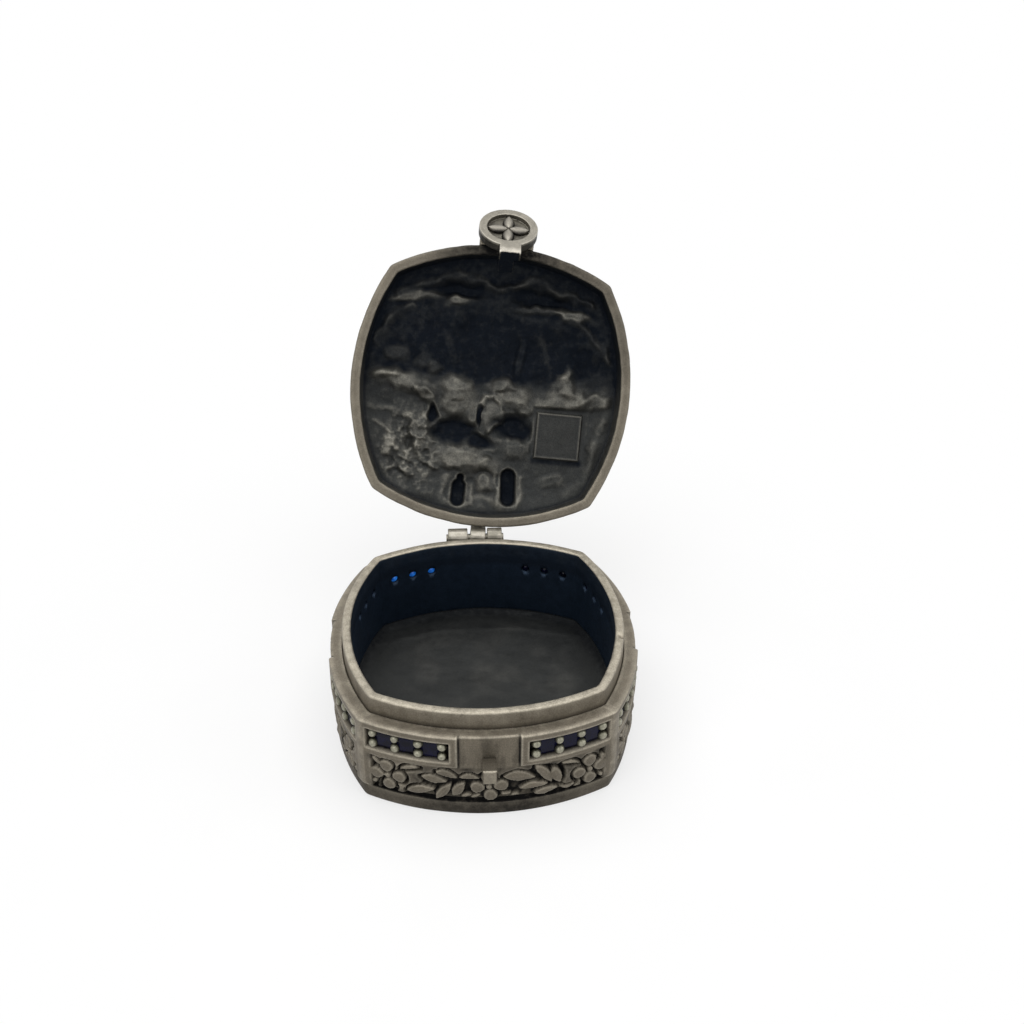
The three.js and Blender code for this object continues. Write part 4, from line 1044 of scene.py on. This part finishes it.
def lid_relief(x, y):
    """How far the inside of the lid stands out of its ceiling in mm, and how light and how dark it is."""
    y = y - FORMS_UP
    zero = 0 * x
    wx = x + 0.3 * uneven(x, y, zero, 1.5, 71, 2)
    wy = y + 0.3 * uneven(x, y, zero + 9, 1.5, 73, 2)
    calm = step(1.0, 4.5, x) * step(5.0, 7.5, y)
    rough = mass(x, y, -7.6, 6.6, 2.9, 4.4, 0.25)
    crumple = uneven(x, y, zero, 1.0, 81, 3)
    blotch = 0.5 + 0.5 * uneven(x, y, zero, 0.9, 83, 3)
    bowl = mass(wx, wy, 0.3, -4.4, 10.6, 3.9, 0.0, 0.3)
    d = 0.12 * uneven(x, y, zero, 2.6, 75) + (0.1 - 0.06 * calm) * uneven(x, y, zero, 1.2, 77, 2)
    d += (0.03 - 0.015 * calm) * uneven(x, y, zero, 0.5, 79, 2) + rough * 0.3 * crumple
    light = rough * np.clip(crumple, 0, 1) * 0.75
    dark = np.maximum(0.72 * step(1.6, -2.2, wy + 0.05 * wx), bowl * 0.95) + 0.12 * blotch
    for cx, cy, rx, ry, turn, high, tone in MASSES:
        d += high * mass(wx, wy, cx, cy, rx, ry, turn)
        glow = mass(wx, wy, cx, cy, rx, ry, turn, 0.75)
        light = np.maximum(light, tone * glow * (0.35 + 0.85 * blotch))
        dark = dark * (1 - 0.85 * glow * min(1, 1.7 * tone))
    for cx, cy, rx, ry, turn, deep in HOLLOWS:
        m = mass(wx, wy, cx, cy, rx, ry, turn)
        d -= deep * m
        light = light * (1 - 0.9 * m)
        dark = np.maximum(dark, m)
    for high, wide, tone, line in CRESTS:
        m = bell(to_line(wx, wy, line), wide)
        d += high * m
        faint = np.clip(1.25 * blotch - 0.1, 0, 1) * (0.55 + 0.45 * step(-3, 0, y))
        light = np.maximum(light, tone * m * faint)
        dark = dark * (1 - 0.7 * m * faint)
    for line, wide in SLOTS:
        m = step(1.25, 0.8, to_line(x, y, line) / wide)
        d += (-0.8 - d) * m
        light, dark = light * (1 - m), np.maximum(dark, m)
    pad = step(-0.3, 0.1, np.minimum.reduce([x - 4.7, 10.0 - x, y - 1.3, 6.55 - y]))
    # A painted shadow along the plaque's edge on the hinge side.
    under = step(0.55, 0.1, np.abs(y - 6.62)) * step(4.6, 5.0, x) * step(10.2, 9.7, x)
    return np.clip(d * (1 - pad), -0.85, 1.1), light * (1 - pad), np.maximum(dark * (1 - pad), 0.8 * under)


print("relief at the middle", round(float(lid_relief(np.array([0.0]), np.array([0.0]))[0][0]), 3))

# %% [markdown]
# The lid is one closed skin of rings: from the middle of the ceiling out to the wall, down to
# the rim, round its edge, up the outside and in to the middle of the crown. Black skin covers
# the inside and satin the rest.

# %% Lid
CEILING, RIM, SATIN, BLACK_WALL = range(4)
PER_LID_SIDE, CEILING_RINGS, CEILING_IN = 150, 150, 1.2
count = len(walk(0, PER_LID_SIDE)[0])
rows, row_kinds, light, dark, inner_edge = [], [], [], [], []


def lid_row(kind, x, y, z, pale, deep, inset=0.0):
    """Add a ring to the lid; an inset of 0.9 or more on the rim is its inner edge."""
    rows.append(np.c_[x, y, z * np.ones(count)])
    row_kinds.append(kind)
    light.append(pale * np.ones(count))
    dark.append(deep * np.ones(count))
    inner_edge.append(kind == RIM and inset >= 0.9)


ceiling_ring = walk(CEILING_IN, PER_LID_SIDE)[0]
for s in np.linspace(0.008, 1.0, CEILING_RINGS):
    x, y = (ceiling_ring * s).T
    inset = CEILING_IN + (1 - s) * 12.3
    vault = 2.35 + 0.65 * step(1.0, 3.6, inset)
    d, pale, deep = lid_relief(x, y)
    hold = step(CEILING_IN - 0.1, CEILING_IN + 1.1, inset)
    deep = np.maximum(deep, 0.5 * step(2, -6, y) * (1 - hold))
    lid_row(CEILING, x, y, RIM_Z + vault - 0.04 - d * hold, pale * (0.4 + 0.6 * hold), deep)

# Down the inside, round the rim and up the outside: distance in and height of each ring.
lid_profile = [
    (BLACK_WALL, [(1.13, 2.2), (1.07, 1.95), (1.02, 1.65), (0.99, 1.3), (0.97, 0.95), (0.96, 0.6)]),
    (SATIN, [(0.95, 0.3)]),
    (RIM, [(0.95, 0.14), (0.9, 0.05), (0.8, 0.0), (0.6, -0.005), (0.42, -0.005), (0.2, 0.0), (0.09, 0.04),
           (0.02, 0.12), (0.0, 0.25)]),
    (SATIN, [(0.0, 0.6), (0.01, 1.1), (0.03, 1.7), (0.12, 2.1), (0.32, 2.55), (0.7, 2.95), (1.25, 3.27),
             (2.0, 3.56), (2.8, 3.78), (3.7, 3.95), (4.6, 4.04)]),
]
for kind, places in lid_profile:
    for inset, h in places:
        xy, out, _, _ = walk(inset, PER_LID_SIDE)
        n = 0.03 * uneven(*xy.T, np.full(count, h), 1.9, 91, 3) * (1.0 if 0.1 < h else 0.3)
        lift = 0.02 * uneven(*xy.T, np.full(count, h), 1.2, 93, 2) * (0.1 < h < 4)
        # The inner wall ring is darker towards the clasp end; towards the hinge end it gets painted light.
        pale, deep = 0.22 * step(-4, 2, xy[:, 1]), 0.08 + 0.5 * step(2, -6, xy[:, 1])
        seen = kind == BLACK_WALL
        lid_row(kind, *(xy + out * n[:, None]).T, RIM_Z + h + lift, pale * seen, deep * seen, inset)
crown_ring = walk(4.6, PER_LID_SIDE)[0]
for s in (0.93, 0.86, 0.78, 0.65, 0.45, 0.2, 0.01):
    lid_row(SATIN, *(crown_ring * s).T, CROWN_Z, 0, 0)

points = np.vstack(rows)
row_kind = np.repeat(row_kinds, count)
in_satin = (row_kind == RIM) | (row_kind == SATIN)
satin_faces = [*in_satin[:-count], False, True]
lid = piece("lid_skin", points, tube(len(rows), count), "lid", [black, satin], ["lid_shell"],
            place=LID_PLACE, material_index=satin_faces)
print("lid rings", len(rows), "points", len(points))

# %% [markdown]
# The lid is painted in two ways. Inside, the relief has told where it is light and dark.
# Outside and on the rim it is mottled satin, with a painted highlight along the rim's inner edge
# on the right. The rim is darker beside the clasp, and the right side is darker towards the clasp.

# %% Paint the lid
masks = mark_wear(lid, 0.05, 8, 0.25, 60)
light, dark = np.concatenate(light), np.concatenate(dark)
x, y, z = points.T
mottled = 1 + uneven(x, y, z, 0.9, 95, 3)
# Painted highlight on the rim's inner edge, on the right only.
inner_line = 0.25 * np.repeat(inner_edge, count) * step(-4, 4, x + y * 0.3)
# Darker on the rim beside the clasp; below, darker on the right towards the clasp.
near_clasp = (row_kind == RIM) * bell(x, 6.5) * step(-9.5, -12.5, y)
outside_wear_and_highlight = np.where(row_kind == RIM, 0.08, 0.06) * mottled + 0.3 * masks["worn"] + inner_line
outside_dark = 0.3 * masks["hollow"] + 0.22 + 0.1 * (row_kind == SATIN) * (mottled - 1)
outside_dark = outside_dark + 0.75 * near_clasp + 0.2 * step(1, 10, x) * step(2, -6, y)
inside_wear_and_light = np.clip(light + 0.45 * masks["worn"] * (1 - dark), 0, 1)
inside_patina_and_shade = np.clip(dark + 0.5 * masks["hollow"] * (1 - light), 0, 1)
paint(lid, "worn", np.where(in_satin, outside_wear_and_highlight, inside_wear_and_light))
paint(lid, "hollow", np.where(in_satin, outside_dark, inside_patina_and_shade))
print("lid painted, mean light", round(float(light.mean()), 3), "mean dark", round(float(dark.mean()), 3))

# %% [markdown]
# The plaque is a thin square pad with a soft border, and its face is plain. A small grid whose
# edge rows are pushed down makes it.

# %% Plaque
PLAQUE = (4.97, 9.73, 1.95, 6.8)
PLAQUE_FACE, PLAQUE_BACK = RIM_Z + 2.6, RIM_Z + 2.96


def plaque_height(x, y):
    """From 0 at the face to 1 at the back: a turned-down edge, a border and slight waves."""
    x0, x1, y0, y1 = PLAQUE
    inner = np.minimum.reduce([x - x0, x1 - x, y - y0, y1 - y])
    border = 0.16 * bell(inner - 0.22, 0.12)
    return 0.75 * step(0.16, 0.0, inner) - border + 0.03 * uneven(x, y, 0 * x, 1.3, 97, 2) + 0.2


def pad(n):
    """A grid of n by n points over its own flat back."""
    x0, x1, y0, y1 = PLAQUE
    t = 0.5 - 0.5 * np.cos(np.pi * np.linspace(0, 1, n))
    x, y = np.meshgrid(x0 + (x1 - x0) * t, y0 + (y1 - y0) * t)
    z = PLAQUE_FACE + (PLAQUE_BACK - PLAQUE_FACE) * plaque_height(x, y)
    face = np.c_[x.ravel(), y.ravel(), z.ravel()]
    back_side = np.c_[x.ravel(), y.ravel(), np.full(n * n, PLAQUE_BACK + 0.15)]
    faces, nn = [], n * n
    for j in range(n - 1):
        for k in range(j * n, j * n + n - 1):
            faces.append((k, k + n, k + n + 1, k + 1))
            faces.append((nn + k, nn + k + 1, nn + k + n + 1, nn + k + n))
    grid = np.arange(nn).reshape(n, n)
    border = [*grid[0], *grid[1:, -1], *grid[-1, -2::-1], *grid[-2:0:-1, 0]]
    for a, b in zip(border, border[1:] + border[:1]):
        faces.append((a, b, nn + b, nn + a))
    return np.vstack([face, back_side]), faces


points, faces = pad(46)
plaque = piece("plaque", points, faces, "lid", [black], ["lid_plaque"], place=LID_PLACE)
masks = mark_wear(plaque, 0.015, 4, 0.08, 16)
paint(plaque, "worn", np.clip(masks["worn"] * 0.6 + 0.12, 0, 1))
paint(plaque, "hollow", masks["hollow"] * 0.4 + 0.36)
print("plaque points", len(points))

# %% [markdown]
# The lotus stands on the outside of the lid, which the open box hides from the front. Each
# petal is a row of cross sections: hollow like a spoon, with a rib down its middle, rims that
# rise, and a pointed tip.

# %% Lotus petals
def petal_ring(inner, outer, width, z0, thick, phase):
    """Eight petals from one radius to another, standing on the height z0."""
    points, faces = [], []
    across = np.linspace(-1, 1, 17)
    from_rib = np.abs(across)
    from_heart = [*np.linspace(0.0, 0.9, 20), 0.94, 0.97, 0.99, 1.0]
    for k in range(8):
        t = phase + k * math.pi / 4
        faces += tube(len(from_heart), 2 * len(across), len(points))
        for s in from_heart:
            r = inner * 0.8 + (outer - inner * 0.8) * s
            swell = 0.62 + 0.38 * math.sin(math.pi * min(s / 0.62, 1) / 2)
            taper = 1 - max(0, (s - 0.5) / 0.5) ** 2.2
            half = 0.5 * width * swell * taper + 0.015
            rib = 0.16 * bell(across, 0.13) * (1 - s)
            top = z0 + thick * (0.5 + 0.2 * s**2 + 0.32 * from_rib**2.2 + rib)
            top = np.minimum(top - thick * 0.55 * np.clip((from_rib - 0.9) / 0.1, 0, 1), z0 + thick)
            top = top - 0.05 * thick * np.cos(across * 15) * (1 - s) * (from_rib < 0.9)
            section = [(r, half * v, z) for v, z in zip(across, top)]
            section += [(r, half * v, z0 - 0.03) for v in across[::-1]]
            for x, y, z in section:
                points.append((x * math.cos(t) - y * math.sin(t), x * math.sin(t) + y * math.cos(t), z))
    return points, faces


for name, args in (("outer_petals", (4.2, 8.58, 3.85, CROWN_Z, 0.44, 0.0)),
                   ("inner_petals", (2.9, 6.28, 2.68, CROWN_Z + 0.45, 0.44, math.pi / 8))):
    points, faces = petal_ring(*args)
    petals = piece(name, points, faces, "lid", [satin], ["lotus_" + name], place=LID_PLACE)
    mark_wear(petals, 0.03, 4, 0.12, 24)
    print(name, len(points))

# %% [markdown]
# A lotus seed head is a low drum with a ring of seed pits round a middle one. A polar grid
# with a rounded shoulder takes the pits as dents, each with a seed and a small raised edge.

# %% Seed head
AROUND_HEAD, HEAD_Z = 72, CROWN_Z + 0.9 - 0.03
head_profile = [(2.0, 0.0), (2.07, 0.15), (2.09, 0.35), (2.05, 0.5), (1.96, 0.62), (1.84, 0.7)]
head_profile += [(r, 0.75) for r in np.linspace(1.75, 0.02, 34)]
seeds = [(0.0, 0.0)] + [(1.2 * math.cos(q), 1.2 * math.sin(q)) for q in np.arange(7) * math.tau / 7]
turns = np.arange(AROUND_HEAD) * math.tau / AROUND_HEAD
rows = []
for r, z in head_profile:
    x, y = r * np.cos(turns), r * np.sin(turns)
    dents = np.zeros(AROUND_HEAD)
    if z >= 0.7:
        for cx, cy in seeds:
            d = np.hypot(x - cx, y - cy)
            seed = 0.15 * np.sqrt(np.clip(1 - (d / 0.24) ** 2, 0, 1))
            dents += -0.22 * step(0.36, 0.27, d) + seed + 0.05 * bell(d - 0.4, 0.07)
    ribs = 1 + 0.03 * np.cos(turns * 16) * (0.1 < z < 0.65)
    rows.append(np.c_[x * ribs, y * ribs, HEAD_Z + z * 1.1 + dents])
head = piece("seed_head", np.vstack(rows), tube(len(rows), AROUND_HEAD), "lid", [satin],
             ["lotus_seed_head"], place=LID_PLACE)
mark_wear(head, 0.02, 3, 0.1, 14)
print("seed pits", len(seeds))

# %% [markdown]
# The clasp is a round flap with a rim, a tab and a hook. It is cast from its solid, because
# the mechanism has its exact shape already. Its sunk middle is painted black by asking each
# point where it lies in the flap's own frame. The hook and its end faces get painted shade, the
# darkest of them as black skin, painted shade runs round the outside of the ring, and the tab's
# end and the hook's edges get painted highlights.

# %% Clasp flap
flap = worn_cast("clasp_flap", 0.04, 8, "clasp", bright, 0.02, 0.12)
to_flap = np.array(CLASP_PLACE.inverted())
x, y, z = (per_point(flap, "co") @ to_flap[:3, :3].T + to_flap[:3, 3]).T
from_middle = np.hypot(x, z - FLAP_MIDDLE)
old = np.zeros(len(x))
flap.data.attributes["worn"].data.foreach_get("value", old)
sunk = step(2.22, 2.1, from_middle) * step(-0.35, -0.2, y) * (y < 0.1)
rim = step(2.1, 2.3, from_middle) * step(-0.45, -0.55, y)
around = step(2.72, 2.84, from_middle) * step(-0.42, -0.28, y)
# The hook and its end faces get painted shade, the hook's edges and the tab's end painted highlights, and the
# outside of the ring painted shade.
hook = step(0.3, 0.5, y) * step(-5.2, -5.7, z)
end_face = step(-6.5, -6.56, z) * (np.abs(x - 0.28) < 0.9)
outline = np.maximum(step(0.2, 0.08, np.abs(x + 0.4)), step(0.24, 0.1, 1.86 - y)) * step(0.2, 0.5, y)
tab_end = step(-5.6, -6.2, z) * step(-0.4, -0.55, y)
painted_shade = np.maximum(hook, end_face) * (1 - old)
sunk_tone = 0.45 + 0.3 * uneven(x, y, z, 0.5, 101, 2)
paint(flap, "hollow", np.clip(sunk * sunk_tone + painted_shade * (1 - 0.8 * outline) + 0.8 * around, 0, 1))
paint(flap, "worn", np.clip(old * 0.8 + rim * 0.2 + 0.7 * tab_end + 0.5 * hook * outline, 0, 1) * (1 - sunk))
# The most shaded faces get the black skin as painted shade.
flap.data.materials.append(black)
shade_faces = [painted_shade[p.vertices[0]] > 0.72 for p in flap.data.polygons]
flap.data.polygons.foreach_set("material_index", np.array(shade_faces, np.int32))
print("flap points", len(x))

# %% [markdown]
# Four pointed petals stand in the ring, each folded along its middle like a leaf. Cross
# sections make them again, this time with a crease instead of a hollow.

# %% Clasp flower
STATIONS, BUTTON_SIDES = 19, 14
across = np.linspace(-1, 1, 9)
points, faces = [], []
for k in range(4):
    c, s = math.cos(k * math.pi / 2), math.sin(k * math.pi / 2)
    faces += tube(STATIONS, 2 * len(across), len(points))
    for t in np.linspace(0, 1, STATIONS):
        r = 0.1 + 1.94 * t
        half = 0.6 * math.sin(math.pi * t**0.92) ** 0.8 + 0.01
        rise = 0.45 * (0.35 + 0.65 * math.sin(math.pi * (0.12 + 0.76 * t)) ** 0.5)
        section = [(half * v, 0.12 + (rise - 0.12) * (1 - 0.75 * abs(v) ** 3.5)) for v in across]
        section += [(half * v, -0.05) for v in across[::-1]]
        points += [(r * c - v * s, -0.1 - h, FLAP_MIDDLE + r * s + v * c) for v, h in section]
button = [(0.15, 0.0), (0.15, 0.2), (0.1, 0.24), (0.03, 0.25)]
faces += tube(len(button), BUTTON_SIDES, len(points), first_end=False)
for r, h in button:
    for q in np.arange(BUTTON_SIDES) * math.tau / BUTTON_SIDES:
        points.append((r * math.cos(q), -0.1 - h, FLAP_MIDDLE + r * math.sin(q)))
flower = piece("clasp_flower_cast", points, faces, "clasp", [bright], ["clasp_flower"],
               place=CLASP_PLACE)
masks = mark_wear(flower, 0.03, 3, 0.12, 10)
paint(flower, "worn", np.clip(masks["worn"] * 0.3 + 0.5, 0, 1))
print("flower points", len(points))

# %% [markdown]
# The flap turns on a thin pin in a bracket on the lid. Both are cast from their solids like
# the flap, the pin with finer voxels because it is only half a millimetre thick.

# %% Clasp pin and bracket
worn_cast("clasp_pin", 0.03, 2, "lid", bright)
worn_cast("clasp_boss", 0.05, 3, "lid", satin, 0.03)

# %% [markdown]
# The bottom plate and any other solid that is shown as it is get the same metal as their
# neighbours, through the object's own material slots, so the solid itself stays untouched.

# %% Finish the solids that stay
shown = [obj for obj in nodes.values() if not obj.hide_render]
for obj in shown:
    for s in obj.material_slots:
        s.link = "OBJECT"
        s.material = floor_metal
print("solids shown:", len(shown))

# %% [markdown]
# The light is a big soft one overhead, as in a product picture, so the tops read light and
# the walls darker. Two weaker ones fill in from the front left and from the right.

# %% Lamps
def soft_light(name, at, size, power, target=(0, 0, 15)):
    """A square lamp that looks at a point of the box; places and sizes are in mm."""
    data = bpy.data.lights.new(name, "AREA")
    data.shape = "RECTANGLE"
    data.size = data.size_y = size * MM
    data.energy = power
    lamp = bpy.data.objects.new(name, data)
    bpy.context.scene.collection.objects.link(lamp)
    z = np.array(at, float) - np.array(target, float)
    z /= np.linalg.norm(z)
    steep = abs(z[2]) >= 0.99
    x = np.cross([0, 1, 0] if steep else [0, 0, 1], z)
    x /= np.linalg.norm(x)
    turn = Matrix((x, np.cross(z, x), z)).transposed().to_4x4()
    lamp.matrix_world = Matrix.Translation([v * MM for v in at]) @ turn


soft_light("top_light", (-10, 10, 190), 230, 0.3)
soft_light("front_light", (-120, -190, 110), 150, 0.12)
soft_light("side_light", (190, -60, 90), 150, 0.09)

print("lamps", len(bpy.data.lights))

# %% [markdown]
# A metal box shows mostly what stands around it. So the world is plain white to the camera and
# in reflections, and dimmer only where it lights the box.

# %% World
def seen_directly(tree):
    """1 for rays from the camera, off a gloss or through glass; 0 for rays that light things."""
    path = node(tree, "ShaderNodeLightPath")
    seen = math_node(tree, "MAXIMUM", path.outputs["Is Camera Ray"], path.outputs["Is Glossy Ray"])
    return math_node(tree, "MAXIMUM", seen, path.outputs["Is Transmission Ray"])


WHITE = (1, 1, 1, 1)
world = bpy.data.worlds.new("studio")
bpy.context.scene.world = world
world.use_nodes = True
tree = world.node_tree
tree.nodes.clear()
sky = node(tree, "ShaderNodeBackground")
sky.inputs["Color"].default_value = WHITE
sky.inputs["Strength"].default_value = 0.45
white = node(tree, "ShaderNodeBackground")
white.inputs["Color"].default_value = WHITE
white.inputs["Strength"].default_value = 1.0
choose = node(tree, "ShaderNodeMixShader")
for value, socket in zip((seen_directly(tree), sky.outputs[0], white.outputs[0]), choose.inputs):
    tree.links.new(value, socket)
tree.links.new(choose.outputs[0], node(tree, "ShaderNodeOutputWorld").inputs["Surface"])
print("world ready")

# %% [markdown]
# The box stands on white paper. The paper keeps the soft shadow close to the box. Further
# away it turns into plain white, so that it has no visible edge against the world.

# %% Paper under the box
HALF_SHEET, BELOW = 6.0, 0.02 * MM
corners = [(x * HALF_SHEET, y * HALF_SHEET, -BELOW) for x, y in ((-1, -1), (1, -1), (1, 1), (-1, 1))]
sheet = bpy.data.meshes.new("table")
sheet.from_pydata(corners, [], [(0, 1, 2, 3)])
table_top = bpy.data.objects.new("table", sheet)
bpy.context.scene.collection.objects.link(table_top)
paper = bpy.data.materials.new("white_paper")
paper.use_nodes = True
tree = paper.node_tree
shader = tree.nodes["Principled BSDF"]
tint, _ = cloudy(tree, 60, (0.86, 0.86, 0.855, 1), (0.9, 0.9, 0.9, 1))
tree.links.new(tint, shader.inputs["Base Color"])
shader.inputs["Roughness"].default_value = 0.85
shader.inputs["Specular IOR Level"].default_value = 0.1
far = node(tree, "ShaderNodeVectorMath", operation="LENGTH")
tree.links.new(node(tree, "ShaderNodeTexCoord").outputs["Object"], far.inputs[0])
whiter = span(tree, far.outputs["Value"], 20 * MM, 55 * MM, 0.65, 1.0)
choose = node(tree, "ShaderNodeMixShader")
plain = node(tree, "ShaderNodeEmission")
share = math_node(tree, "MULTIPLY", seen_directly(tree), whiter)
for value, socket in zip((share, shader.outputs[0], plain.outputs[0]), choose.inputs):
    tree.links.new(value, socket)
tree.links.new(choose.outputs[0], tree.nodes["Material Output"].inputs["Surface"])
sheet.materials.append(paper)
bpy.context.scene.view_settings.view_transform = "Standard"
print("paper ready")
